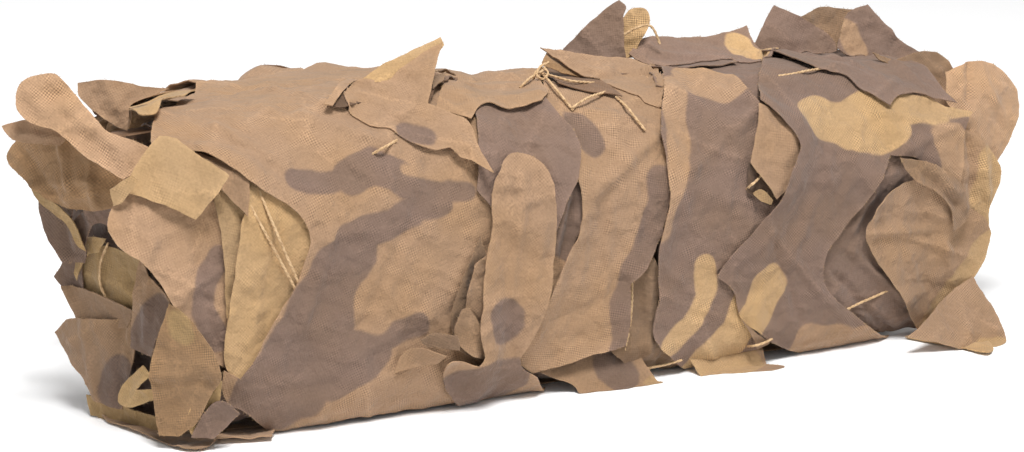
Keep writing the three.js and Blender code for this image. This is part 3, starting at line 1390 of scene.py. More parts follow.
@dataclass
class PatchPrint:
    """A sheet's print: bands of colour along flat spines, with wandering outlines, on a ground colour."""

    ground: Cloth
    bands: Sequence[Band]
    seed: int
    far: float = 50.0
    most_wander: float = 3.4
    wander_share: float = 0.18
    long_waves: Range = (13.0, 14.5)
    short_waves: Range = (6.1, 5.3)

    def __call__(self, flat: Array) -> dict[str, Array]:
        """Works out how far inside each printed colour the places lie.

        Args:
            flat: Flat places in mm.

        Returns:
            Signed distances in mm for mauve and for sand, above 0 inside.
        """
        phase = np.random.default_rng(self.seed).uniform(0, FULL_TURN, 4)
        x, y = flat.T
        long, short = self.long_waves, self.short_waves
        across = np.sin(y / long[0] + phase[0]) + 0.5 * np.sin((x + y) / short[0] + phase[1])
        along = np.sin(x / long[1] + phase[2]) + 0.5 * np.sin((x - y) / short[1] + phase[3])
        wander = np.stack([across, along], axis=-1)
        inks = (Cloth.MAUVE, Cloth.SAND)
        fields = {ink: np.full(len(flat), self.far if ink is self.ground else -self.far) for ink in inks}
        for colour, radius, spine in self.bands:
            moved = flat + min(self.most_wander, self.wander_share * radius) * wander
            inside = radius - edge_distance(moved, spine)
            for ink, values in fields.items():
                fields[ink] = np.maximum(values, inside) if ink is colour else np.minimum(values, -inside)
        return {ink.value: values for ink, values in fields.items()}


@dataclass
class SheetMaker:
    """What the makers of leaves and tongues share: each sheet is printed, laid and frayed alike."""

    shop: Workshop
    threads: EdgeThreads

    def lay(
        self,
        sheet: CutSheet,
        seat: Seat,
        height: Heights,
        printed: PatchPrint,
        folds: FoldLines,
        materials: Sequence[Material],
        nodes: Sequence[str],
        inner: bool = False,
    ) -> None:
        """Lays a sheet on its seat, and on the pile if that is the roll.

        Args:
            sheet: The cut sheet.
            seat: What carries it.
            height: Gives its height above the seat at flat places.
            printed: Its print.
            folds: Its folding creases.
            materials: The face's material and the underside's.
            nodes: The CAD nodes that it replaces.
            inner: Whether it is a dark sheet of the inside, put where shade falls, which has no frayed edge.
        """

        def carry(flat: Array) -> Array:
            """Takes flat places to points on the seat."""
            return seat.solid(flat, height(flat))

        def paint(flat: Array) -> dict[str, Array]:
            """The numbers painted at flat places."""
            return printed(flat) | {"worn": folds.worn(flat)}

        on_roll = isinstance(seat, RollSeat)
        obj = sheet.build(carry, paint, materials)
        if not inner:
            self.threads.gather(sheet.outline, carry, sheet.seed)
        if on_roll:
            self.shop.pile.cover(sheet.outline, height)
        self.shop.record(obj, Slot.WOUND if inner else Slot.LEAF, nodes)
        sheet.declare()


@dataclass
class LeafMaker(SheetMaker):
    """Cuts, prints and lays the leaves that show in the picture, one over another."""

    pile_guess: float = 3.0
    clearance: float = 1.0
    curl: float = 1.9
    curl_reach: float = 8.0
    curl_lengths: Range = (33.0, 29.0)
    lift_reach: float = 20.0
    crease_gain: float = 1.6
    fold_height: float = 2.1
    wrinkle_height: float = 2.0
    dent_height: float = 0.6
    dent_spacing: Range = (8.0, 20.0)
    swell_height: float = 3.2
    swell_spacing: Range = (70.0, 140.0)

    def seat(self, leaf: Leaf) -> Seat:
        """Finds the place that carries a leaf.

        Args:
            leaf: The leaf.

        Returns:
            The roll's surface, or the leaf's own plane.
        """
        shop = self.shop
        if leaf.plane is None:
            return RollSeat(shop.roll, shop.sight)

        def clear(spots: Array) -> Array:
            """The height that clears the pile."""
            return shop.pile.at(spots) + self.clearance

        return PlaneSeat(leaf.plane, shop.roll, shop.camera, clear, tucked=leaf.raised < 0)

    def make(self, leaf: Leaf, seed: int) -> None:
        """Makes one leaf and adds it to the pile.

        Args:
            leaf: What to make.
            seed: Sets its wrinkles, grain and print.
        """
        seat = self.seat(leaf)
        guess = self.pile_guess if leaf.plane is None else 0.0
        points = np.array([seat.flat(c, leaf.raised + guess) for c in leaf.corners])
        outline = worn_edge(turned_outline(points, [c.rounded for c in leaf.corners]), seed)
        sheet = CutSheet(f"cut_{leaf.name}", outline, leaf.cell, seed, leaf.waffle, leaf.fade)
        folds = FoldLines(outline, seed + Draw.FOLDS, self.fold_height * leaf.crumple)
        relief = self.relief(leaf, seat, points, sheet, folds)
        rest = self.shop.pile.drape(outline) if leaf.plane is None else None
        printed = PatchPrint(leaf.ground, [self.band(leaf, seat, patch) for patch in leaf.patches], seed)

        def height(flat: Array) -> Array:
            """The leaf's height above its seat."""
            return relief(flat) + (0.0 if rest is None else self.shop.pile.at(flat, rest))

        nodes = ((leaf.name,) if leaf.node else ()) + leaf.also
        self.lay(sheet, seat, height, printed, folds, self.cloths(leaf), nodes, leaf.inner)

    def cloths(self, leaf: Leaf) -> tuple[Material, Material]:
        """The materials of a leaf's face and underside; a dark sheet of the inside takes the darker cloth,
        which paints shade, on both.
        """
        if leaf.inner:
            return self.shop.wound, self.shop.wound
        return (self.shop.back, self.shop.face) if leaf.turned else (self.shop.face, self.shop.back)

    def band(self, leaf: Leaf, seat: Seat, patch: Patch) -> Band:
        """Takes a printed patch to a leaf's flat shape.

        Args:
            leaf: The leaf.
            seat: What carries it.
            patch: The patch.

        Returns:
            Its colour, and its radius and spine in mm.
        """
        spine = np.array([seat.flat(Corner(at, hidden=patch.hidden), leaf.raised) for at in patch.spine])
        if patch.hidden:
            return patch.colour, patch.radius, spine
        across, down = patch.spine[0]
        sides = [seat.flat(Corner((across + reach, down)), 0.0) for reach in (0.0, patch.radius)]
        return patch.colour, float(np.linalg.norm(sides[1] - sides[0])), spine

    def relief(self, leaf: Leaf, seat: Seat, points: Array, sheet: CutSheet, folds: FoldLines) -> Heights:
        """Puts together a leaf's wrinkles, creases, lifted corners and curled edge.

        Args:
            leaf: The leaf.
            seat: What carries it.
            points: Its flat corners.
            sheet: Its cut sheet.
            folds: Its folding creases.

        Returns:
            Gives the height above the seat at flat places.
        """
        seed, outline, closed = sheet.seed, sheet.outline, sheet.closed()
        layers = (
            Wrinkles(seed, self.wrinkle_height * leaf.crumple),
            Wrinkles(seed + Draw.DENTS, self.dent_height * leaf.crumple, 6, *self.dent_spacing),
            Wrinkles(seed + Draw.SWELLS, self.swell_height * leaf.crumple, 3, *self.swell_spacing),
            folds,
        )
        ends = [(c.start, c.end) for c in leaf.creases]
        lines = [np.array([seat.flat(Corner(at), leaf.raised) for at in pair]) for pair in ends]
        lifted = [(c.lift, p) for c, p in zip(leaf.corners, points, strict=True) if c.lift and not c.hidden]
        middle = outline.mean(axis=0)
        span = float(np.max(np.linalg.norm(outline - middle, axis=1)))
        phase = float(np.random.default_rng(seed + Draw.CURL).uniform(0, FULL_TURN))

        def height(flat: Array) -> Array:
            """The leaf's own height, without what it lies on."""
            total = sum(layer(flat) for layer in layers) + leaf.raised
            for crease, line in zip(leaf.creases, lines, strict=True):
                near = np.exp(-((edge_distance(flat, line) / crease.breadth) ** 2))
                total = total + self.crease_gain * crease.height * near
            for lift, point in lifted:
                gap = np.linalg.norm(flat - point, axis=1) / self.lift_reach
                total = total + lift * np.exp(-(gap**2))
            rim = np.exp(-edge_distance(flat, closed) / self.curl_reach)
            total = total + self.curl * leaf.curl * waved(flat, self.curl_lengths, phase) * rim
            return total + leaf.bow * (np.linalg.norm(flat - middle, axis=1) / span) ** 2

        return height


@dataclass
class TongueMaker(SheetMaker):
    """Cuts and lays the plain leaves of the hidden side."""

    cell: float = 3.4
    step: float = 4.0
    neck: float = 0.74
    waist_at: float = 0.3
    cheek: float = 0.98
    brow: float = 0.7
    brow_drops: Range = (0.25, 0.3)
    curl: float = 2.6
    curl_reach: float = 8.0
    curl_lengths: Range = (21.0, 17.0)
    wrinkle_height: float = 1.5
    fold_height: float = 2.0
    patches: int = 3
    patch_radii: Range = (10.0, 22.0)
    patch_reach: float = 45.0

    def outline(self, tongue: Tongue) -> Array:
        """The flat outline of a tongue, from its root to a round end.

        Args:
            tongue: The tongue.

        Returns:
            Its outline by x and girth.
        """
        half, reach = tongue.width / 2, tongue.length
        tip = half * tongue.tip
        corners = (
            (0.0, -half * self.neck),
            (self.waist_at * reach, -half * tongue.waist),
            (reach - tip, -half * self.cheek),
            (reach - tip * self.brow_drops[0], -half * self.brow),
            (reach, 0.0),
            (reach - tip * self.brow_drops[1], half * self.brow),
            (reach - tip, half * self.cheek),
            (self.waist_at * reach, half * tongue.waist),
            (0.0, half * self.neck),
        )
        along = heading(math.radians(tongue.heading))
        root = np.array([tongue.x, tongue.girth])
        leaning = [(a, b + tongue.lean * (a / reach) ** 2) for a, b in corners]
        points = np.array([root + a * along + b * sideways(along) for a, b in leaning])
        return turned_outline(points, [0 < i < len(corners) - 1 for i in range(len(corners))], self.step)

    def make(self, tongue: Tongue, seed: int) -> None:
        """Makes one tongue and adds it to the pile.

        Args:
            tongue: What to make.
            seed: Sets its wrinkles, grain and print.
        """
        outline = self.outline(tongue)
        sheet = CutSheet(f"cut_{tongue.name}", outline, self.cell, seed)
        rest = self.shop.pile.drape(outline)
        wrinkles = Wrinkles(seed, self.wrinkle_height)
        folds = FoldLines(outline, seed + Draw.FOLDS, self.fold_height)
        printed = PatchPrint(tongue.ground, self.bands(outline, seed), seed)
        closed = sheet.closed()
        along = heading(math.radians(tongue.heading))

        def height(flat: Array) -> Array:
            """The tongue's height above the roll."""
            out = (flat - np.array([tongue.x, tongue.girth])) @ along - tongue.foot
            free = np.clip(out / max(tongue.length - tongue.foot, 1.0), 0.0, 1.0)
            rim = np.exp(-edge_distance(flat, closed) / self.curl_reach)
            total = wrinkles(flat) + folds(flat) + self.curl * waved(flat, self.curl_lengths, seed) * rim
            return total + tongue.rise * free**1.5 + self.shop.pile.at(flat, rest)

        seat = RollSeat(self.shop.roll, self.shop.sight)
        cloths = (self.shop.face, self.shop.back)
        nodes = (tongue.name,) if tongue.node else ()
        self.lay(sheet, seat, height, printed, folds, cloths, nodes)

    def bands(self, outline: Array, seed: int) -> list[Band]:
        """Draws the printed patches of a tongue, mauve twice as often as sand or tan.

        Args:
            outline: The tongue's flat outline.
            seed: Sets the patches.

        Returns:
            The patches as bands.
        """
        draw = np.random.default_rng(seed + Draw.PATCHES)
        inks = (Cloth.MAUVE, Cloth.SAND, Cloth.MAUVE, Cloth.TAN)
        made = []
        for _ in range(self.patches):
            ink = inks[draw.integers(len(inks))]
            start = draw.uniform(outline.min(axis=0), outline.max(axis=0))
            radius = float(draw.uniform(*self.patch_radii))
            end = start + draw.uniform(-self.patch_reach, self.patch_reach, 2)
            made.append((ink, radius, np.stack([start, end])))
        return made


@dataclass(frozen=True)
class CordRun:
    """A stretch of the net's own cord that shows in a gap: its pixels, and its height over the roll in mm."""

    name: str
    pixels: Places
    lifts: tuple[float, ...]
    node: str | None = None
    plane: Plane | None = None


@dataclass
class CordMaker:
    """Twists and lays the cords: two strands wound round each other along a smooth route."""

    shop: Workshop
    diameter: float = 1.9
    strand: float = 0.66
    lay_length: float = 7.0
    step: float = 0.8
    path_step: float = 2.4
    samples: int = 60
    upward: tuple[float, float, float] = (0.1, 0.2, 1.0)

    def route(self, run: CordRun) -> Array:
        """The cord's middle line.

        Args:
            run: The stretch of cord.

        Returns:
            Points in mm, evenly spaced.
        """
        seat = RollSeat(self.shop.roll, self.shop.sight)
        if run.plane is not None:
            seat = PlaneSeat(run.plane, self.shop.roll, self.shop.camera, self.shop.pile.at, tucked=True)
        held = [(seat.flat(Corner(at), lift), lift) for at, lift in zip(run.pixels, run.lifts, strict=True)]
        knots = np.concatenate([seat.solid(flat[None, :], np.array([lift])) for flat, lift in held])
        slopes = np.gradient(knots, axis=0)
        legs = zip(knots[:-1], slopes[:-1], knots[1:], slopes[1:], strict=True)
        fine = [curve(*leg, self.samples) for leg in legs]
        return self.even(np.concatenate(fine + [knots[-1:]]), self.step)

    def even(self, line: Array, step: float) -> Array:
        """A line's points spaced evenly along it."""
        along = run_along(line)
        marks = np.linspace(0, along[-1], max(3, round(along[-1] / step)))
        return np.stack([np.interp(marks, along, line[:, i]) for i in range(3)], axis=-1)

    def make(self, run: CordRun) -> None:
        """Makes one stretch of cord.

        Args:
            run: The stretch.
        """
        line = self.route(run)
        flow = units(np.gradient(line, axis=0))
        side = units(np.cross(flow, np.array(self.upward)))
        over = np.cross(side, flow)
        along = run_along(line)
        joined = bmesh.new()
        for turn in (0.0, math.pi):
            angle = 2 * math.pi * along[:, None] / self.lay_length + turn
            off = self.diameter / 2 - self.strand
            strand = line + off * (np.cos(angle) * side + np.sin(angle) * over)
            tube = tube_mesh(f"{run.name}_strand", [strand], self.strand, 2)
            joined.from_mesh(tube)
            bpy.data.meshes.remove(tube)
        name = f"twisted_{run.name}"
        obj = mesh_object(name, mesh_from(joined, name), (self.shop.cord,))
        self.shop.record(obj, Slot.CORD, (run.node,) if run.node else ())
        path = self.even(line, self.path_step) * MM
        self.diameter * MM


def tube_mesh(name: str, lines: Sequence[Array], radius: float, rings: int) -> Mesh:
    """Makes closed tubes along lines.

    Args:
        name: The mesh's name.
        lines: Each tube's points in mm.
        radius: The tubes' radius in mm.
        rings: How round the tubes are.

    Returns:
        One mesh in metres.
    """
    curve = bpy.data.curves.new(name, "CURVE")
    curve.dimensions = "3D"
    curve.bevel_depth = radius * MM
    curve.bevel_resolution = rings
    curve.use_fill_caps = True
    for line in lines:
        spline = curve.splines.new("POLY")
        spline.points.add(len(line) - 1)
        spline.points.foreach_set("co", np.hstack([line * MM, np.ones((len(line), 1))]).ravel())
    holder = bpy.data.objects.new(name, curve)
    mesh = bpy.data.meshes.new_from_object(holder)
    bpy.data.objects.remove(holder)
    bpy.data.curves.remove(curve)
    return mesh


@dataclass
class EdgeThreads:
    """Loose ends of yarn along the cut edges, gathered leaf by leaf and made as one piece."""

    shop: Workshop
    radius: float = 0.1
    spacing: float = 3.0
    shortest: float = 0.75
    longest: float = 1.1
    rooted: float = 0.6
    splay: float = 0.5
    bend: float = 0.35
    lines: list[Array] = field(default_factory=list)

    def gather(self, outline: Array, carry: Heights, seed: int) -> None:
        """Draws the threads of one leaf.

        Args:
            outline: The leaf's flat outline, counter-clockwise.
            carry: Takes flat places to points in mm.
            seed: Sets where the threads are.
        """
        draw = np.random.default_rng(seed + Draw.THREADS)
        legs = np.roll(outline, -1, axis=0) - outline
        lengths = np.linalg.norm(legs, axis=1)
        count = int(lengths.sum() / self.spacing)
        picked = draw.choice(len(outline), count, p=lengths / lengths.sum())
        along = units(legs[picked])
        splay = draw.normal(0, self.splay, (count, 1))
        outward = np.stack([along[:, 1], -along[:, 0]], axis=-1) + splay * along
        roots = outline[picked] + draw.uniform(0, 1, (count, 1)) * legs[picked] - self.rooted * outward
        reach = self.longest * draw.uniform(0.0, 1.0, (count, 1)) ** 2 + self.shortest
        bend = draw.normal(0, self.bend, (count, 1)) * reach * along
        knots = [roots + share * reach * outward + share * share * bend for share in (0.0, 0.5, 1.0)]
        solid = carry(np.concatenate(knots)).reshape(3, count, 3)
        self.lines += [solid[:, i] for i in range(count)]

    def make(self) -> None:
        """Makes the threads that were gathered."""
        mesh = tube_mesh("frayed_threads", self.lines, self.radius, 0)
        self.shop.record(mesh_object("frayed_threads", mesh, (self.shop.thread,)), Slot.LEAF)


@dataclass
class WoundNet:
    """The folded net inside the leaves: one long sheet wound up in a flattened spiral, open at both ends."""

    shop: Workshop
    turns: float = 7.4
    pitch: float = 9.0
    inset: float = 18.0
    middle: float = 62.0
    near: float = -260.0
    far: float = 258.0
    dish: float = 30.0
    ruffle: float = 8.0
    far_ruffle: float = 15.0
    crush: float = 6.0
    columns: int = 30
    step: float = 6.0
    outer_girth: float = 300.0
    least_scale: float = 0.04
    least_height: float = 1.5
    thickness: float = 0.9
    waffle: float = 0.5
    wrinkle_height: float = 2.2
    tip_flare: float = 3.0
    flare_length: float = 50.0
    rumple: float = 1.7
    rumple_length: float = 33.0
    long_rumple: float = 1.3
    long_rumple_length: float = 71.0
    lobe_length: float = 25.0
    lobe_shift: float = 500.0
    crush_lengths: Range = (16.0, 18.0)
    crush_from: Range = (0.55, 0.86)
    patches: int = 60
    mauve_share: float = 0.65
    patch_radii: Range = (14.0, 34.0)
    patch_reach: float = 80.0
    seed: int = 17

    def spiral(self, share: Array) -> tuple[Array, Array]:
        """The winding at shares of the sheet's run from its outer end.

        Args:
            share: From 0 at the outer end to 1 at the core.

        Returns:
            The girth and the section's scale.
        """
        turn = share * self.turns
        scale = 1 - (self.inset + self.pitch * turn) / (self.shop.roll.height / 2)
        girth = turn * self.shop.roll.girth + self.outer_girth
        return girth, np.maximum(scale, self.least_scale)

    def carry(self, x: Array, share: Array, off: Array) -> Array:
        """Winds flat places up.

        Args:
            x: Places along the roll.
            share: Places along the spiral.
            off: How far off the sheet, in mm.

        Returns:
            Points in mm.
        """
        girth, scale = self.spiral(share)
        points, normals = self.shop.roll.shell(np.stack([x, girth], axis=-1), lapped=False)
        sag = np.array([0.0, 0.0, self.middle])
        spread = np.stack([np.ones_like(scale), scale, scale], axis=-1)
        wound = sag * (1 - spread) + points * spread + normals * off[:, None]
        loose = self.crush * (1 - smoothstep(scale, *self.crush_from))
        shift_y = loose * np.sin(wound[:, 2] / self.crush_lengths[0] + x / 90.0)
        shift_z = loose * np.sin(wound[:, 1] / self.crush_lengths[1] + 2.0 - x / 70.0)
        wound[:, 1:] += np.stack([shift_y, shift_z], axis=-1)
        wound[:, 2] = np.maximum(wound[:, 2], self.least_height)
        return wound

    def lobes(self, run: Array) -> Array:
        """How far the cut ends reach out and in along the run, from -1 to 1."""
        scallop = np.abs(np.sin(run / self.lobe_length + np.sin(run / 130.0)))
        return scallop * 1.4 - 0.8 + 0.4 * np.sin(run / 61.0)

    def run_length(self) -> float:
        """The sheet's length along the spiral in mm."""
        share = np.linspace(0, 1, 2000)
        line = self.carry(np.zeros_like(share), share, np.zeros_like(share))
        return float(np.linalg.norm(np.diff(line, axis=0), axis=1).sum())

    def build(self) -> None:
        """Makes the wound sheet."""
        length = self.run_length()
        made = bmesh.new()
        bmesh.ops.create_grid(made, x_segments=round(length / self.step), y_segments=self.columns, size=0.5)
        mesh = mesh_from(made, "wound_net")
        share, across = (flat_places(mesh) + 0.5).T
        run = share * length
        near = self.near + self.dish * share + self.ruffle * self.lobes(run)
        far = self.far - self.dish * share + self.far_ruffle * self.lobes(run + self.lobe_shift)
        flat = np.stack([run, near + (far - near) * across], axis=-1)
        wound = self.carry(flat[:, 1], share, self.relief(flat, across))
        mesh.vertices.foreach_set("co", (wound * MM).ravel())
        even = np.ones(len(flat))
        plain = {"waffle": self.waffle * even, "fade": even, "rim": 0.0 * even, "worn": 0.0 * even}
        paint_mesh(mesh, flat, PatchPrint(Cloth.TAN, self.bands(flat), self.seed)(flat) | plain)
        mesh.flip_normals()
        # The wound sheet takes the darker cloth, painted shade for the inside of the roll.
        obj = mesh_object("wound_net", mesh, (self.shop.wound, self.shop.wound))
        thicken(obj, self.thickness)
        self.shop.record(obj, Slot.WOUND, ("rolled_net",))
        (self.far - self.near) * MM

    def relief(self, flat: Array, across: Array) -> Array:
        """How far the sheet stands off its winding.

        Args:
            flat: Places along the run and along the roll, in mm.
            across: Each place as a share from the near end to the far end.

        Returns:
            Heights in mm.
        """
        run, x = flat.T
        wrinkles = self.wrinkle_height * Wrinkles(self.seed, 1.0)(flat)
        off = wrinkles * smoothstep(np.minimum(across, 1 - across), -0.3, 0.2)
        tips = smoothstep(np.abs(across - 0.5), 0.42, 0.5)
        off = off + self.tip_flare * tips * np.sin(run / self.flare_length + np.sin(run / 260.0))
        off = off + self.rumple * np.sin(run / self.rumple_length + 2.0 * np.sin(run / 170.0))
        return off + self.long_rumple * np.sin(run / self.long_rumple_length + x / 60.0)

    def bands(self, flat: Array) -> list[Band]:
        """Draws the printed patches, mauve more often than sand.

        Args:
            flat: The sheet's flat places in mm.

        Returns:
            The patches as bands.
        """
        draw = np.random.default_rng(self.seed)
        made = []
        for _ in range(self.patches):
            start = draw.uniform(flat.min(axis=0), flat.max(axis=0))
            ink = Cloth.MAUVE if draw.uniform() < self.mauve_share else Cloth.SAND
            radius = float(draw.uniform(*self.patch_radii))
            end = start + draw.uniform(-self.patch_reach, self.patch_reach, 2)
            made.append((ink, radius, np.stack([start, end])))
        return made


TAN, MAUVE, SAND = Cloth.TAN, Cloth.MAUVE, Cloth.SAND
FLOOR = Plane(0, 0, 1.2, 0, 90)
MOUTH = Plane(-264, -90, 100, -60)

BACK_TURN = Leaf(
    "turn_back", hid(-256, 290) + lie(-205, 276, -150, 296, -92, 280, -30, 300, 40, 282, 104, 300, 170, 278)
    + hid(256, 292) + lie(260, 380, 250, 450) + hid(252, 534)
    + lie(190, 522, 120, 541, 50, 520, -30, 540, -110, 524, -180, 541) + hid(-254, 530)
    + lie(-262, 450, -252, 370), crumple=1.4, cell=4,
    patches=(dab(MAUVE, 26, -226, 420, -190, 500, -120, 520, hidden=True),
    dab(SAND, 20, -120, 320, -100, 380, hidden=True),
    dab(MAUVE, 24, -20, 350, 4, 430, -30, 500, hidden=True), dab(SAND, 18, 100, 500, 150, 520, hidden=True),
    dab(MAUVE, 28, 120, 340, 124, 420, 210, 440, 236, 510, hidden=True)),
)

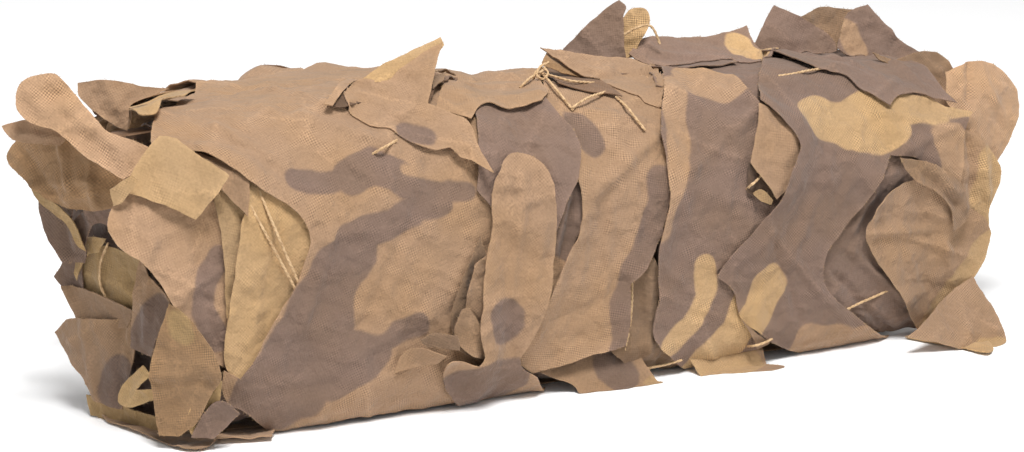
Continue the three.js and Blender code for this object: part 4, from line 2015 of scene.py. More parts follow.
# In the leaf tables below, a shading number under 1 paints shade onto leaves in gaps, folds, the ends and the
# near end's mouth, and one over 1 paints light onto them; the dark inside sheets are put where shade falls.
FRONT_LEAVES = (
    Leaf("turn_front", hid(-254, -4, 252, -4, 254, 262, -256, 262), ground=MAUVE, raised=-9, crumple=1.6,
         cell=4.5, inner=True),
    Leaf("turn_far", hid(238, 30) + arc(962, 290, 960, 240, 958, 170) + hid(238, 235), ground=MAUVE,
         raised=-10, inner=True),
    Leaf("turn_under", hid(-240, -112) + lie(-172, -126, -104, -106, -24, -124, 66, -104, 150, -124)
         + hid(236, -110, 244, 4, -246, 4), cell=6, fade=0.8),
    Leaf("leaf_front_near", cut(160, 150) + arc(138, 166, 126, 189, 114, 204, 108, 221, 111, 236, 124, 251,
             140, 261, 159, 282, 170, 301, 185, 318, 201, 341)
         + cut(214, 362, 240, 376, 240, 290, 236, 230, 216, 178), fade=1.1, node=True,
         patches=(dab(MAUVE, 12, 218, 258, 207, 284, 202, 310, 216, 342),),
         creases=(nip(140, 180, 150, 255, 1, 4), nip(185, 230, 180, 300, 1), nip(195, 250, 215, 340, -1))),
    Leaf("leaf_strip_shade", cut(204, 176, 262, 200) + arc(262, 225, 250, 275) + cut(226, 318)
         + arc(221, 240, 212, 200), ground=SAND, fade=0.78),
    Leaf("leaf_front_sand", cut(232, 168, 262, 180) + arc(312, 200, 334, 240, 322, 272, 312, 296, 285, 334,
             267, 364, 247, 374, 234, 377, 223, 362, 225, 330, 232, 275, 239, 224) + cut(243, 212),
         ground=SAND, node=True, creases=(nip(270, 215, 252, 330, 1), nip(288, 225, 270, 290, 0.8),
         nip(240, 300, 262, 310, 1, 2))),
    Leaf("leaf_wedge", cut(196, 154, 246, 172, 244, 217, 218, 192), fade=0.8),
    Leaf("leaf_front_main", cut(195, 86) + arc(165, 105, 152, 125) + cut(150, 152) + arc(178, 155, 205, 160,
             233, 177, 258, 191, 292, 209, 309, 234, 303, 262, 295, 284, 272, 322, 252, 358)
         + cut(237, 377, 221, 368) + arc(221, 387, 228, 404, 243, 411) + cut(276, 431)
         + arc(330, 421, 400, 412) + cut(470, 400, 500, 330, 524, 260, 520, 180, 480, 108) + hid(-58, 300)
         + lie(-96, 322, -138, 326, -170, 306) + hid(-208, 300), waffle=0.75, node=True,
         patches=(dab(MAUVE, 11, 292, 181, 330, 181), dab(MAUVE, 17, 345, 176, 372, 168, 404, 184),
         dab(MAUVE, 9, 400, 188, 464, 190), dab(MAUVE, 15, 344, 236, 388, 228, 410, 214),
         dab(MAUVE, 11, 406, 214, 440, 202), dab(MAUVE, 33, 350, 254, 326, 300, 300, 342),
         dab(MAUVE, 42, 298, 366, 272, 396), dab(MAUVE, 20, 334, 372, 368, 360),
         dab(MAUVE, 12, 364, 352, 396, 334, 414, 326), dab(TAN, 7, 262, 203, 320, 205, 376, 206),
         dab(TAN, 5, 404, 171, 440, 176), dab(MAUVE, 18, 338, 346, 364, 354),
         dab(TAN, 22, 371, 313, 390, 284), dab(TAN, 14, 356, 416, 400, 392, 450, 380)),
         creases=(nip(300, 120, 395, 150, 1.6, 4), nip(215, 130, 290, 175, 1.4, 4),
         nip(330, 230, 300, 330, 1.2), nip(420, 200, 360, 330, -1.2, 4), nip(260, 90, 330, 110, 1.5, 4),
         nip(330, 370, 400, 330, 1), nip(180, 100, 300, 90, 1.2, 4), nip(240, 390, 330, 375, 1, 3),
         nip(310, 240, 420, 225, 0.8, 2))),
    Leaf("leaf_fold_dark", cut(480, 236) + arc(466, 264, 454, 298, 449, 324)
         + cut(455, 348, 482, 362, 494, 300), fade=0.55),
    Leaf("leaf_fold_small", cut(470, 262, 486, 250, 488, 300, 481, 334, 472, 322) + arc(462, 304),
         fade=0.82),
    Leaf("leaf_fold_foot", cut(456, 306) + arc(463, 304) + cut(482, 340, 484, 358)
         + arc(462, 349, 450, 332), fade=0.74),
    Leaf("leaf_bit_dark", cut(417, 338) + arc(428, 332) + cut(449, 330, 452, 345, 426, 346), waffle=1,
         fade=0.62),
    Leaf("leaf_small_tan", cut(392, 371) + arc(402, 352, 418, 346) + cut(440, 352, 434, 362, 415, 366),
         fade=0.84, curl=0.6),
    Leaf("leaf_inner_mauve", cut(540, 160, 586, 160, 586, 215) + arc(572, 250)
         + cut(550, 300, 522, 350, 530, 300), ground=MAUVE, fade=0.9, raised=1.5,
         patches=(dab(TAN, 14, 552, 268, 538, 320),), creases=(nip(566, 186, 552, 250, 3, 2.4),
         nip(574, 200, 560, 262, -2, 2))),
    # A tan sheet in the gap, painted darker as the shade that falls there.
    Leaf("leaf_gap_shaded",
         cut(620, 270, 650, 250, 674, 300, 664, 335, 694, 374, 668, 394, 640, 376, 612, 352), raised=-3,
         fade=0.62, creases=(nip(648, 262, 646, 350, 2, 3), nip(662, 300, 656, 370, -2, 3))),
    Leaf("leaf_front_broad", cut(545, 100, 541, 72, 600, 66, 660, 84, 668, 114)
         + arc(672, 150, 670, 200, 661, 234, 642, 272) + cut(630, 283) + arc(629, 320) + cut(625, 346)
         + arc(613, 350, 594, 355, 568, 364) + cut(533, 374)
         + arc(521, 365, 518, 355, 521, 343, 549, 293, 566, 252, 577, 228, 579, 200, 573, 178)
         + cut(552, 165), waffle=0.8, node=True,
         patches=(dab(MAUVE, 16, 662, 185, 644, 250, 626, 300, 620, 345),
         dab(MAUVE, 15, 575, 127, 590, 140)), creases=(nip(592, 192, 652, 140, 3.2, 4),
         nip(610, 200, 600, 330, 1.2), nip(585, 250, 560, 330, 1), nip(630, 150, 645, 230, -1.2),
         nip(590, 115, 640, 122, 1.4))),
    Leaf("leaf_front_round", cut(470, 96, 540, 96) + arc(556, 119, 572, 134, 578, 154, 573, 178, 562, 202)
         + cut(552, 230, 515, 235, 476, 190), ground=MAUVE, fade=1.08, node=True,
         creases=(nip(500, 140, 560, 150, 1), nip(520, 118, 545, 170, 0.9, 2))),
    Leaf("leaf_front_spot", arc(489, 196, 496, 172, 507, 157, 528, 159, 544, 175, 549, 194, 551, 228,
             550, 250, 545, 290, 530, 332) + cut(517, 356) + arc(520, 366)
         + cut(536, 376, 545, 396, 464, 405) + arc(444, 386, 440, 365, 447, 357) + cut(471, 362)
         + arc(476, 352, 471, 329, 476, 296, 480, 257, 490, 228), fade=0.97, node=True,
         patches=(dab(MAUVE, 17, 497, 315, 497, 326), dab(MAUVE, 22, 455, 385, 505, 380)),
         creases=(nip(520, 180, 505, 290, 1.2), nip(540, 220, 520, 320, 0.9),
         nip(495, 190, 545, 185, 0.9, 2))),
    Leaf("leaf_top_mauve_foot", cut(640, 64, 700, 52, 790, 62, 800, 110, 770, 150, 700, 110, 655, 90),
         ground=MAUVE),
    Leaf("leaf_front_waffle", cut(661, 76) + arc(690, 73, 731, 80, 748, 94, lift=3)
         + cut(757, 111, 800, 150, 790, 190, 765, 240, 745, 285) + arc(746, 317, 757, 345, 763, 364)
         + cut(766, 379, 686, 375)
         + arc(672, 359, 653, 337, 655, 316, 659, 298, 656, 263, 658, 243, 667, 201, 664, 165)
         + cut(657, 136), ground=MAUVE, waffle=1, fade=1.06, node=True, also=("leaf_front_hook",),
         patches=(dab(TAN, 22, 690, 86, 726, 92), dab(TAN, 12, 670, 96, 674, 150, 656, 230),
         dab(SAND, 24, 742, 312, 718, 352, 700, 366), dab(MAUVE, 6, 730, 276, 718, 318, 676, 356),
         dab(SAND, 10, 703, 262, 703, 292, 690, 322, 669, 345), dab(MAUVE, 15, 752, 362, 760, 376)),
         creases=(nip(755, 112, 690, 170, 1.6, 3), nip(690, 110, 680, 230, 1),
         nip(660, 265, 700, 300, 0.8, 2), nip(730, 130, 720, 240, 1))),
    # A dark sheet in the slot, painted as the shade inside it.
    Leaf("leaf_slot", cut(747, 162, 773, 197, 768, 205, 746, 192), fade=0.35, inner=True, curl=0.1,
         crumple=0.2),
    Leaf("leaf_slot_sand", cut(750, 192) + arc(758, 188) + cut(769, 198, 767, 203, 758, 200), ground=SAND,
         fade=0.7, curl=0.3),
    Leaf("leaf_side_wedge", cut(753, 111, 800, 124, 806, 150, 790, 180, 772, 197, 747, 163), fade=0.95,
         curl=0.3, creases=(nip(758, 130, 786, 140, 0.8, 2),)),
    Leaf("leaf_gap_mauve", cut(870, 130, 940, 160, 910, 205) + arc(890, 240, 900, 275)
         + cut(932, 335, 890, 352, 830, 320) + arc(805, 284, 805, 250) + cut(840, 190), ground=MAUVE,
         raised=-3, fade=0.98, creases=(nip(850, 250, 905, 300, 2.2, 3), nip(835, 275, 890, 335, -2, 3),
         nip(880, 170, 850, 230, 2))),
    Leaf("leaf_far_strip", cut(946, 122, 962, 127)
         + arc(979, 136, 994, 154, 1001, 174, 994, 199, 990, 208, 988, 232, 981, 258)
         + cut(970, 277, 944, 255, 938, 200, 940, 150), fade=0.95, waffle=1, node=True,
         patches=(dab(SAND, 15, 992, 160, 986, 215, 978, 250),), creases=(nip(980, 145, 985, 195, 2, 4),
         nip(968, 140, 970, 200, -2))),
    Leaf("leaf_front_mauve", cut(768, 50, 800, 58) + arc(818, 64, 843, 72) + cut(880, 84, 905, 88)
         + arc(930, 97, 945, 107) + cut(973, 112) + arc(965, 122, 962, 140) + cut(957, 183)
         + arc(939, 172, 917, 158) + cut(891, 155) + arc(872, 188, 845, 228, 826, 258, 827, 287, 850, 311)
         + cut(889, 342, 806, 357) + arc(789, 350, 763, 336, 739, 317, 733, 292) + cut(716, 276)
         + arc(726, 259, 746, 236, 773, 198, 786, 170, 794, 150, 790, 140, 771, 121)
         + cut(754, 109, 758, 80), ground=MAUVE, waffle=0.8, node=True, also=("leaf_front_pale",),
         patches=(dab(SAND, 21, 824, 118, 850, 120), dab(SAND, 27, 866, 122, 884, 122),
         dab(SAND, 14, 898, 112, 930, 110), dab(SAND, 7, 936, 112, 968, 112),
         dab(TAN, 16, 946, 140, 950, 174), dab(SAND, 18, 765, 286, 752, 312, 744, 326),
         dab(TAN, 17, 815, 342, 875, 334)), creases=(nip(830, 150, 790, 260, 1.2),
         nip(800, 270, 850, 330, 1), nip(770, 240, 800, 320, -1.2), nip(860, 120, 840, 200, 1),
         nip(815, 165, 850, 160, 0.9, 1.8), nip(815, 150, 830, 185, 0.9, 1.8),
         nip(822, 105, 812, 130, 0.9, 1.8), nip(870, 115, 940, 120, 1.3, 2.4),
         nip(840, 130, 890, 112, 0.9, 2), nip(905, 150, 962, 122, 1.8, 3), nip(720, 275, 760, 240, 1, 2))),
    Leaf("leaf_toe_slot", cut(737, 317) + arc(752, 330) + cut(768, 341, 756, 347), fade=0.7, curl=0.2,
         crumple=0.3),
    Leaf("leaf_top_far", cut(751, 52, 773, 58) + arc(794, 63, 818, 70, 843, 76, 856, 87, 874, 99)
         + cut(888, 107) + arc(898, 97, 915, 94, 932, 99) + cut(954, 106) + arc(942, 88) + cut(922, 64)
         + hid(262, 296, 160, 300), ground=MAUVE, fade=1.04, curl=0.3, creases=(nip(800, 55, 880, 80, 1.2),
         nip(850, 50, 920, 90, 1))),
    Leaf("leaf_front_far", cut(922, 176)
         + arc(902, 186, 882, 198, 871, 213, 864, 232, 870, 249, 882, 270, 895, 290, 911, 318)
         + cut(917, 328) + arc(957, 288) + cut(972, 275) + arc(981, 258) + cut(988, 232) + arc(980, 215)
         + cut(964, 205) + arc(945, 190), waffle=0.8, fade=0.92, node=True,
         patches=(dab(SAND, 11, 984, 238, 957, 285, 922, 322),), creases=(nip(866, 232, 925, 228, 2.2, 3),
         nip(905, 250, 925, 310, 1), nip(940, 240, 950, 280, 1))),
    Leaf("leaf_far_curl", cut(897, 158) + arc(930, 163, 953, 179, 963, 200, 960, 219) + cut(948, 228)
         + arc(945, 206, 932, 190) + cut(915, 181, 903, 168), raised=1, curl=0.4, fade=0.72, waffle=0.9,
         creases=(nip(915, 168, 950, 200, -2, 4), nip(930, 168, 958, 205, 1.6, 2.5))),
    Leaf("leaf_top_tan", hid(-70, 304, 58, 318) + cut(543, 62) + arc(538, 77, 542, 87, 547, 97)
         + cut(540, 108) + arc(519, 112, 504, 113, 490, 108, 478, 112) + cut(469, 124, 436, 108, 452, 74),
         crumple=0.8, curl=0.2, raised=-1.2, creases=(nip(478, 106, 537, 103, 1, 3),
         nip(460, 90, 530, 88, 1.2, 4), nip(470, 75, 520, 80, 1))),
    # A dark sheet behind the two slats, painted as the shade between them.
    Leaf("leaf_slats_shade", cut(431, 70, 458, 70, 448, 84, 437, 86, 429, 106, 427, 106), fade=0.75, inner=True,
         curl=0.1, crumple=0.3),
    Leaf("leaf_slat_upper", cut(434, 76, 456, 70, 454, 74, 436, 80), fade=0.75, curl=0.4),
    Leaf("leaf_slat_lower", cut(432, 88, 446, 82, 444, 88, 432, 95), fade=0.7, curl=0.4),
    Leaf("leaf_knot_shade", cut(541, 66, 553, 56, 602, 82, 622, 99, 586, 92, 558, 86), fade=0.75,
         inner=True, curl=0.1, crumple=0.3),
    Leaf("leaf_torn_shade", cut(326, 111, 335, 100, 352, 83, 364, 78, 362, 104, 344, 110), fade=0.45,
         inner=True, curl=0.1, crumple=0.3),
    Leaf("leaf_torn_rim", cut(323, 112) + arc(332, 101) + cut(351, 83, 358, 85) + arc(342, 100)
         + cut(331, 113), curl=0.9, crumple=0.5),
    Leaf("leaf_flap_near", cut(157, 147, 172, 151, lift=2) + cut(223, 182, lift=8) + cut(193, 220, lift=4)
         + cut(158, 206, 122, 194) + arc(134, 170) + cut(148, 155), ground=SAND, fade=0.93, curl=0.4,
         creases=(nip(150, 165, 205, 205, 1), nip(166, 205, 192, 216, 1))),
    Leaf("leaf_ridge_near", cut(124, 97) + arc(139, 116, 155, 117, 163, 105) + cut(195, 90)
         + arc(172, 88, 150, 92), ground=SAND, raised=3, fade=0.92),
    Leaf("leaf_top_cover", hid(54, 240, 150, 240) + lie(150, 306, 100, 296, 48, 308), ground=MAUVE,
         raised=-1.2, cell=3.5),
)

FAR_END_LEAVES = (
    Leaf("leaf_end_core", lie(-34, -28, -40, 8, -22, 34, 8, 40, 34, 22, 30, -14, 6, -34),
         Plane(246, 8, 70, 78, 14), ground=MAUVE, raised=-1, bow=-14, crumple=1.8, turned=True, fade=0.9,
         patches=(dab(SAND, 14, -20, 10, 14, 24, hidden=True),)),
    Leaf("leaf_end_high", lie(-46, -12, -40, 18, -8, 32, 26, 26, 50, 30, 60, 4, 30, -16, -8, -10),
         Plane(254, -12, 128, 96, 22), raised=-1, bow=-16, crumple=1.8, fade=0.9,
         patches=(dab(MAUVE, 13, 30, 10, 54, 12, hidden=True),)),
    Leaf("leaf_end_front", lie(-20, -40, -26, -6, -18, 30, 2, 44, 16, 20, 22, -16, 4, -44),
         Plane(256, -58, 84, 62, -6), ground=SAND, raised=-1, bow=-12, crumple=1.6, turned=True, fade=0.85),
    Leaf("leaf_end_low", lie(-50, -6, -34, 20, 0, 14, 36, 22, 52, 2, 28, -14, -14, -12),
         Plane(252, 26, 26, 84, -24), raised=-1, bow=-10, crumple=1.6, fade=0.8,
         patches=(dab(MAUVE, 12, -30, 4, -8, 2, hidden=True),)),
    Leaf("leaf_end_back", lie(-18, -34, -24, 0, -8, 36, 14, 30, 24, -2, 12, -36),
         Plane(252, 66, 92, 118, 4), ground=MAUVE, raised=-1, bow=-12, crumple=1.6, fade=0.9),
)

STANDING_LEAVES = (
    Leaf("leaf_floor_mid", cut(520, 366, 560, 345) + arc(594, 336, 625, 336) + cut(645, 366, 662, 391)
         + arc(620, 394) + cut(578, 395) + arc(573, 386) + cut(549, 377), Plane(10, -98, 8, 0, 30),
         fade=0.85, raised=-1, node=True, patches=(dab(MAUVE, 17, 606, 366, 620, 378),
         dab(SAND, 8, 650, 386, 656, 390))),
    Leaf("leaf_floor_tip", cut(684, 352, 760, 346, 766, 366) + arc(783, 385) + cut(769, 392) + arc(730, 384)
         + cut(700, 379), Plane(120, -98, 7, 0, 35), fade=0.9, raised=-1, node=True,
         patches=(dab(SAND, 22, 700, 360, 738, 368),)),
    Leaf("leaf_floor_near", cut(235, 405, 240, 416) + arc(224, 432, 207, 449, 184, 450, 163, 443, 134, 432)
         + cut(107, 422, 96, 412, 150, 400), FLOOR, fade=0.72, node=True),
    Leaf("leaf_floor_corner", cut(245, 412) + arc(262, 424) + cut(274, 433, 272, 439) + arc(240, 441)
         + cut(216, 442, 228, 424), FLOOR, raised=0.8),
    Leaf("leaf_floor_far", cut(905, 338, 940, 326) + arc(980, 336, 990, 354, 960, 348), FLOOR, ground=SAND,
         node=True),
    Leaf("leaf_far_low", cut(905, 338) + arc(917, 329, 946, 296) + cut(972, 277)
         + arc(990, 307, 1003, 335, 1002, 353) + cut(995, 360) + arc(960, 350), Plane(290, -112, 22, 5, 35),
         waffle=0.8, fade=0.92, node=True, patches=(dab(SAND, 10, 985, 352, 998, 348),)),
    Leaf("leaf_torn", arc(344, 104, 346, 92, 359, 80, 387, 80, 400, 70, 428, 50) + cut(442, 44)
         + arc(438, 56, 434, 75) + cut(428, 104, 449, 113) + arc(468, 123, 480, 151)
         + cut(494, 173, 471, 161, 460, 158, 449, 149, 437, 151)
         + arc(416, 147, 397, 138, 387, 133, 368, 130, 352, 120), Plane(-96, -82, 179, -10, 42), curl=0.4,
         crumple=1.4, node=True, patches=(dab(MAUVE, 11, 404, 137, 424, 138),),
         creases=(nip(360, 95, 420, 125, 1.6, 4), nip(430, 60, 410, 110, 1.4), nip(445, 125, 480, 160, 1))),
    Leaf("leaf_top_peak", cut(355, 84) + arc(382, 66, 407, 54) + cut(440, 38, 444, 46) + arc(430, 62)
         + cut(395, 84), Plane(-96, -82, 179, -10, 38), ground=SAND, raised=-5, node=True),
    Leaf("leaf_top_lobe", cut(540, 48) + arc(562, 52, 597, 57, 625, 60)
         + cut(658, 70, 660, 96, 656, 118, 641, 113, 598, 88, 560, 62), Plane(50, -60, 171, -5, 58),
         fade=0.98, curl=0.5, creases=(nip(580, 65, 640, 95, 1.2),)),
    Leaf("leaf_top_ridge", cut(562, 51) + arc(588, 25, 606, 9) + cut(619, 1) + arc(626, 7, 623, 18, 624, 45)
         + cut(626, 62, 598, 60), Plane(60, -8, 186, -25, 22), ground=MAUVE, node=True),
    Leaf("leaf_ridge_inner", cut(621, 20) + arc(630, 10, 643, 9, 649, 15, 648, 27, 640, 42)
         + cut(632, 58, 622, 58), Plane(60, -8, 186, -15, 22), ground=SAND, raised=-8, waffle=1),
    Leaf("leaf_top_mauve", cut(628, 56) + arc(646, 38, 706, 36) + cut(746, 27) + arc(754, 42, 775, 64)
         + cut(778, 70) + arc(766, 76) + cut(752, 76) + arc(731, 72, 690, 67) + cut(661, 68) + arc(640, 63),
         Plane(110, -62, 163, 0, 60), ground=MAUVE, fade=1.25, curl=-0.4, node=True,
         patches=(dab(SAND, 12, 740, 42, 744, 52, 772, 64),), creases=(nip(660, 55, 740, 60, 1.2),)),
    Leaf("leaf_top_far_a", cut(748, 58) + arc(760, 30) + cut(773, 6) + arc(800, 19, 832, 40)
         + cut(836, 52, 790, 62), Plane(205, -10, 184, -10, 28), ground=MAUVE, fade=1.08, node=True),
    Leaf("leaf_top_pale", cut(800, 17) + arc(821, 7, 841, 9) + cut(858, 11) + arc(846, 28)
         + cut(836, 50, 815, 38), Plane(205, -10, 184, 10, 18), fade=0.8, raised=-9, waffle=1),
    Leaf("leaf_top_far_b", cut(836, 48) + arc(847, 14) + cut(867, 5) + arc(881, 20, 899, 40)
         + cut(918, 53, 885, 64, 850, 60), Plane(252, -12, 178, -5, 28), ground=MAUVE, fade=1.06, node=True,
         patches=(dab(TAN, 12, 848, 30, 856, 46),)),
    Leaf("leaf_far_dark", cut(872, 53) + arc(894, 60, 914, 53, 936, 54, 950, 69, 957, 82)
         + cut(964, 116, 930, 106, 900, 84), Plane(262, -45, 172, 5, 30), fade=0.75, waffle=1),
    Leaf("leaf_far_lobe", cut(952, 72)
         + arc(972, 62, 990, 62, 1008, 72, 1019, 87, 1022, 101, 1021, 116, 1012, 143)
         + cut(1001, 165, 964, 132, 950, 101), Plane(262, -80, 160, 8, 12), waffle=1, bow=-8, fade=1.32,
         node=True, creases=(nip(973, 63, 969, 101, -2, 2), nip(985, 80, 1005, 120, 1.2))),
    Leaf("leaf_mouth_back", cut(47, 186) + arc(58, 232) + cut(70, 256, 66, 280, 84, 318, 68, 334)
         + arc(96, 392) + cut(104, 408, 178, 428, 176, 310, 146, 256, 116, 198, 70, 176), MOUTH,
         ground=MAUVE, raised=-26, crumple=1.8, fade=0.8, inner=True),
    Leaf("leaf_near_strip", cut(38, 186) + arc(42, 210, 50, 236) + cut(64, 262, 86, 262)
         + arc(88, 249, 76, 226) + cut(78, 196), Plane(-272, -50, 110, -50), ground=MAUVE, waffle=1,
         fade=0.86, node=True, creases=(nip(58, 196, 70, 250, -1.2),)),
    Leaf("leaf_near_fold", cut(30, 176) + arc(45, 193, 72, 216) + cut(88, 251)
         + arc(80, 246, 66, 221, 40, 200), Plane(-272, -50, 110, -48), ground=SAND, raised=3, turned=True,
         fade=0.8),
    Leaf("leaf_mouth_lobe", arc(74, 228, 82, 213, 98, 207) + cut(116, 206, 116, 232)
         + arc(106, 222, 95, 226, 88, 238) + cut(84, 248), MOUTH, ground=MAUVE, raised=-8, fade=1.05),
    Leaf("leaf_near_side", cut(16, 139)
         + arc(7, 151, 5, 160, 16, 174, 30, 185, 41, 194, 55, 202, 75, 209, 93, 211)
         + cut(118, 208, 124, 188, 130, 174, 66, 134, 30, 128), Plane(-270, -60, 140, -40), waffle=0.8,
         bow=-6, turned=True, fade=0.78, crumple=1.5, node=True, creases=(nip(61, 140, 71, 186, 2.6, 2.5),
         nip(92, 158, 97, 206, 2.2, 2.5), nip(32, 186, 95, 178, 1.8), nip(20, 150, 60, 200, -1.4))),
    Leaf("leaf_near_tab", cut(2, 126) + arc(10, 123, 25, 120, 38, 124) + cut(68, 136, 60, 146)
         + arc(17, 141, 7, 134), Plane(-290, -45, 180, -20, 10), creases=(nip(12, 132, 55, 138, 1.6, 2),)),
    Leaf("leaf_near_curl", cut(77, 82) + arc(100, 80, 120, 81, 141, 86) + cut(168, 88, 150, 97)
         + arc(131, 106, 130, 120) + cut(134, 134) + arc(116, 126, 103, 118, 88, 106, 78, 95),
         Plane(-262, -20, 185, -20, 20), bow=-6, fade=0.9, node=True,
         creases=(nip(106, 84, 128, 128, 1.6, 4),)),
    Leaf("leaf_near_strap",
         arc(17, 99, 23, 85, 36, 79, 56, 76, 66, 85, 73, 93, 86, 108, 99, 123, 106, 131, 129, 140, 146, 147)
         + cut(154, 153) + arc(146, 168, 138, 174) + cut(124, 181)
         + arc(103, 168, 83, 155, 66, 140, 53, 131, 33, 125, 20, 114), Plane(-272, -75, 165, -20, 25),
         fade=1.2, waffle=1, bow=5, node=True, creases=(nip(30, 95, 60, 125, 2.6, 6),
         nip(66, 108, 125, 155, 2.6, 5), nip(70, 128, 100, 130, 1.8))),
    Leaf("leaf_near_corner", cut(110, 189, 133, 174, 140, 180, 122, 202, 114, 206),
         Plane(-285, -92, 150, -30), ground=SAND, fade=0.9),
    Leaf("leaf_mouth_sand", cut(76, 259) + arc(84, 252, 103, 245, 122, 250) + cut(148, 262) + arc(144, 285)
         + cut(138, 314) + arc(115, 303) + cut(84, 292) + arc(79, 278), MOUTH, ground=SAND, raised=-17,
         turned=True, fade=0.76, creases=(nip(100, 250, 104, 296, 1.4),)),
    Leaf("leaf_mouth_strip", cut(78, 244) + arc(92, 236) + cut(108, 238, 100, 252) + arc(88, 256)
         + cut(80, 280) + arc(77, 262), MOUTH, ground=SAND, raised=-12, turned=True, fade=0.85),
    Leaf("leaf_mouth_wedge", cut(55, 276, 67, 258, 82, 254, 86, 288, 64, 287), MOUTH, ground=MAUVE,
         raised=-14, fade=0.82),
    Leaf("leaf_mouth_fold", cut(64, 284) + arc(84, 288, 110, 299) + cut(136, 311, 128, 328) + arc(82, 324)
         + cut(74, 306), MOUTH, raised=-12, fade=0.72, creases=(nip(66, 286, 84, 322, 2, 2.5),)),
    Leaf("leaf_mouth_front", cut(142, 258) + arc(156, 280) + cut(172, 300) + arc(170, 318, 159, 335)
         + cut(154, 356, 130, 347) + arc(132, 320, 136, 293), MOUTH, raised=-4, fade=0.82,
         patches=(dab(MAUVE, 18, 146, 340, 162, 322),), creases=(nip(150, 275, 146, 340, 1.4),)),
    Leaf("leaf_near_low", cut(52, 333, 64, 320) + arc(80, 318, 126, 322) + cut(134, 328)
         + arc(132, 360, 126, 392) + cut(120, 410) + arc(104, 405) + cut(91, 399) + arc(86, 384), MOUTH,
         raised=-8, fade=0.74, waffle=0.5, bow=-5, node=True, patches=(dab(MAUVE, 14, 116, 372, 110, 392),),
         creases=(nip(84, 322, 96, 400, 1.4, 4), nip(120, 325, 118, 395, -2, 5))),
    Leaf("leaf_base_fold", cut(88, 394, 122, 404, 160, 418, 164, 436) + arc(130, 428)
         + cut(109, 421, 96, 426), MOUTH, ground=SAND, raised=-12, turned=True, fade=0.72),
    Leaf("leaf_mouth_curl", arc(122, 400, 126, 383) + cut(147, 364, 156, 373, 140, 388, 156, 388, 156, 399)
         + arc(132, 406), MOUTH, ground=SAND, raised=-5, turned=True, fade=0.85),
    Leaf("leaf_front_heel", cut(170, 302) + arc(191, 320, 208, 342) + cut(220, 362)
         + arc(223, 376, 214, 390, 204, 410, 196, 424) + cut(180, 435, 160, 434)
         + arc(155, 402, 151, 374, 153, 356, 161, 329), Plane(-258, -96, 60, -35), turned=True, fade=0.68,
         waffle=0.9, raised=2, node=True, patches=(dab(SAND, 12, 180, 318, 182, 330),),
         creases=(nip(151, 375, 214, 372, 1.8, 3), nip(165, 330, 160, 420, 1.2))),
    Leaf("leaf_heel_tab", cut(186, 421) + arc(193, 402, 210, 384) + cut(222, 380) + arc(219, 402)
         + cut(195, 437), Plane(-246, -98, 30, -25), ground=SAND, raised=3, turned=True, fade=0.85),
    Leaf("leaf_heel_toe", cut(191, 437) + arc(207, 408, 222, 400) + cut(240, 413, 214, 438),
         Plane(-244, -100, 20, -20), raised=4.5, fade=0.9, ground=MAUVE),
    Leaf("leaf_lobe_inner", cut(541, 67, 548, 51, 566, 54, 592, 73, 598, 86, 560, 75),
         Plane(50, -60, 171, -5, 58), raised=-5, turned=True, fade=0.72),
)

HIDDEN_TONGUES = (
    Tongue("leaf_back_low_a", -224, 424, 84, 106, 82, 1, ground=MAUVE, lean=10, waist=0.9),
    Tongue("leaf_back_low_b", -126, 428, 97, 104, 96, 1.2, ground=SAND, lean=-14, waist=0.8),
    Tongue("leaf_back_low_c", -14, 424, 83, 110, 86, 0.9, lean=16, waist=0.86),
    Tongue("leaf_back_low_d", 104, 430, 98, 102, 98, 1.1, ground=MAUVE, lean=-12, waist=0.82),
    Tongue("leaf_back_low_e", 212, 424, 86, 106, 84, 1, lean=10, waist=0.9),
    Tongue("leaf_back_a", -186, 330, 92, 150, 90, 1, node=True),
    Tongue("leaf_back_b", -62, 342, 84, 136, 84, 1, ground=MAUVE, node=True),
    Tongue("leaf_back_c", 58, 336, 96, 150, 88, 0.5, node=True),
    Tongue("leaf_back_d", 176, 340, 88, 134, 84, 1, ground=SAND, node=True),
    Tongue("leaf_back_e", -126, 424, 264, 74, 62, 1, 14, 40, node=True),
    Tongue("leaf_back_f", 116, 400, 84, 76, 64, 1.6, 16, 36, ground=MAUVE, node=True),
    Tongue("leaf_back_near", -238, 376, 178, 72, 54, 1, 6, 36, node=True),
    Tongue("leaf_back_far", 234, 404, 2, 92, 60, 1, 10, 34, ground=SAND, node=True),
    Tongue("leaf_back_top_a", -230, 296, 96, 82, 70, 1, lean=-8),
    Tongue("leaf_back_top_b", -164, 286, 86, 106, 104, 1.1, lean=14, waist=0.84),
    Tongue("leaf_back_top_c", -64, 290, 98, 92, 98, 0.9, ground=SAND, lean=-14, waist=0.8),
    Tongue("leaf_back_top_d", 42, 286, 84, 104, 106, 1.1, ground=MAUVE, lean=12, waist=0.86),
    Tongue("leaf_back_top_e", 142, 290, 95, 88, 94, 1, lean=-12, waist=0.8),
    Tongue("leaf_back_top_f", 222, 288, 88, 102, 84, 0.9, ground=SAND, lean=8, waist=0.86),
)

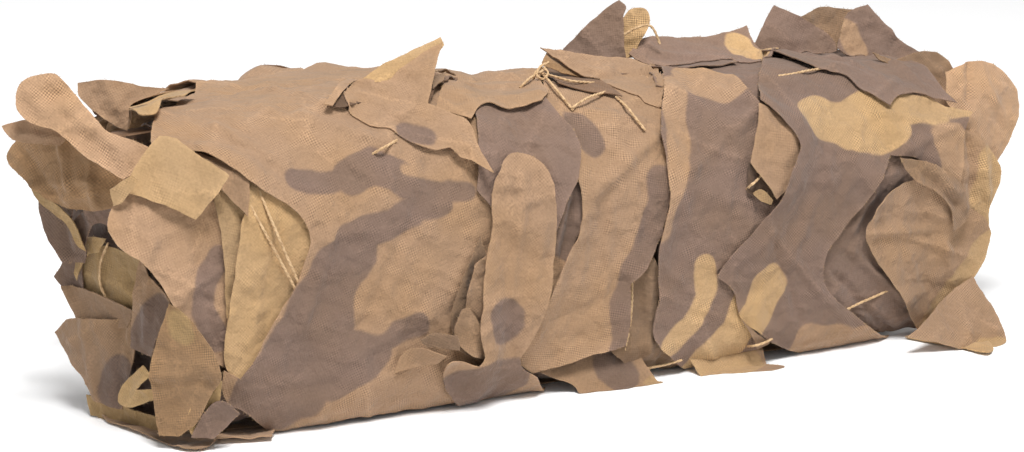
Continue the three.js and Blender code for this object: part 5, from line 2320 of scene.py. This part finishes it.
CORDS = (
    CordRun("net_cord_near", ((232, 170), (250, 205), (272, 245), (296, 290)), (4, 7.5, 7.5, 4),
            "net_cord_near"),
    CordRun("cord_near_b", ((256, 184), (271, 219), (285, 252), (300, 286)), (4, 7.5, 7.5, 4)),
    CordRun("net_cord_knot_a", ((541, 73), (549, 81), (559, 93), (573, 110)), (6, 7, 7, 5),
            "net_cord_knot_a"),
    CordRun("net_cord_knot_b", ((572, 108), (582, 101), (592, 96), (612, 90)), (6, 7, 7, 3),
            "net_cord_knot_b"),
    CordRun("cord_knot_c", ((541, 73), (556, 77), (572, 81), (596, 83)), (6, 7, 6, 3)),
    CordRun("cord_knot_d", ((549, 56), (543, 70), (530, 78), (520, 88)), (6, 7.5, 6.5, 1)),
    CordRun("cord_knot",
            ((533, 80), (536, 72), (543, 68), (548, 73), (543, 79), (537, 75), (540, 67), (549, 62)),
            (-1.5, 0, 0.4, 1, 1.8, 2.6, 2.6, 1), plane=Plane(3, -33, 197, -12, 25)),
    CordRun("net_cord_gap", ((632, 280), (632, 300), (630, 325), (625, 350)), (-1, -1, -1, -1),
            "net_cord_gap"),
    CordRun("cord_gap_b", ((636, 372), (650, 368), (664, 365), (682, 360)), (3, 3, 3, 3)),
    CordRun("net_cord_far", ((846, 310), (860, 303), (876, 296), (897, 286)), (-1, 0, 0, -1),
            "net_cord_far"),
    CordRun("cord_top_far", ((778, 76), (792, 74), (806, 71), (824, 68)), (5, 5, 5, 3)),
    CordRun("cord_torn", ((350, 167), (367, 157), (383, 148), (397, 140)), (-6, -2, 6.5, 5)),
    CordRun("cord_strand", ((616, 97), (627, 107), (634, 116), (645, 130)), (4, 7, 7, 5)),
    CordRun("cord_toe", ((741, 352), (753, 346), (766, 342), (780, 334)), (-6, 7.5, 7.5, -6)),
    CordRun("cord_slot", ((742, 194), (750, 186), (757, 180), (766, 168)), (-8, 6.5, 6.5, -8)),
    CordRun("cord_ridge", ((622, 36), (634, 29), (647, 25), (654, 30), (660, 44)), (0, 2, 3, 2, 0),
            plane=Plane(60, -8, 186, -15, 22)),
    CordRun("cord_mouth", ((108, 243), (101, 262), (100, 282), (106, 299)), (-13, -12, -12, -14),
            plane=MOUTH),
)


@dataclass(frozen=True)
class Lamp:
    """A square area light: its place in metres, its power in watts and its side in metres."""

    name: str
    place: tuple[float, float, float]
    power: float
    side: float

    def build(self, target: Vector) -> None:
        """Adds the light.

        Args:
            target: What it looks at, in metres.
        """
        data = bpy.data.lights.new(self.name, "AREA")
        data.energy = self.power
        data.size = self.side
        lamp = bpy.data.objects.new(self.name, data)
        lamp.location = self.place
        lamp.rotation_euler = (target - Vector(self.place)).to_track_quat("-Z", "Y").to_euler()
        bpy.context.scene.collection.objects.link(lamp)


@dataclass(frozen=True)
class Studio:
    """The pale floor and the soft light from above and from the upper left."""

    floor_side: float = 14.0
    floor_grey: float = 0.98
    floor_roughness: float = 0.8
    sky: float = 0.47
    target: tuple[float, float, float] = (0.0, 0.0, 0.08)
    lamps: tuple[Lamp, ...] = (
        Lamp("key", (-0.3, -1.15, 2.5), 84.0, 0.8),
        Lamp("fill", (-2.2, -1.6, 1.0), 3.0, 1.6),
        Lamp("rim", (-0.2, 1.9, 2.0), 9.0, 2.4),
    )

    def build(self) -> None:
        """Adds the floor, the lights and the plain sky."""
        made = bmesh.new()
        bmesh.ops.create_grid(made, x_segments=8, y_segments=8, size=self.floor_side / 2)
        pale = (self.floor_grey, self.floor_grey, self.floor_grey, 1.0)
        finish = Shader("pale_floor").finish({"Base Color": pale, "Roughness": self.floor_roughness})
        mesh_object("floor", mesh_from(made, "floor"), (finish,))
        for lamp in self.lamps:
            lamp.build(Vector(self.target))
        world = bpy.data.worlds.new("studio")
        world.use_nodes = True
        sky = world.node_tree.nodes["Background"]
        sky.inputs["Color"].default_value = (1.0, 1.0, 1.0, 1.0)
        sky.inputs["Strength"].default_value = self.sky
        bpy.context.scene.world = world
        bpy.context.scene.view_settings.view_transform = "Standard"


def main() -> None:
    """Builds the whole net in order."""
    logging.basicConfig(level=logging.INFO, format="%(message)s")
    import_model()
    camera, roll = PhotoCamera(), RollForm()
    camera.build()
    finishes = (FACE_CLOTH, BACK_CLOTH, SHADED_WOUND_CLOTH, CREAM_CORD, LOOSE_THREAD)
    materials = [finish.material() for finish in finishes]
    shop = Workshop(camera, roll, Sight(camera, roll), LeafPile(), *materials)
    cords = CordMaker(shop)
    for run in CORDS:
        cords.make(run)
    WoundNet(shop).build()
    threads = EdgeThreads(shop)
    leaves = LeafMaker(shop, threads)
    tongues = TongueMaker(shop, threads)
    leaves.make(BACK_TURN, 99)
    for seed, tongue in enumerate(HIDDEN_TONGUES, 300):
        tongues.make(tongue, seed)
    for first, group in ((101, FRONT_LEAVES), (200, STANDING_LEAVES), (280, FAR_END_LEAVES)):
        for seed, leaf in enumerate(group, first):
            leaves.make(leaf, seed)
    threads.make()
    Studio().build()
    LOG.info("%d pieces", len(shop.pieces))


if __name__ == "__main__":
    main()
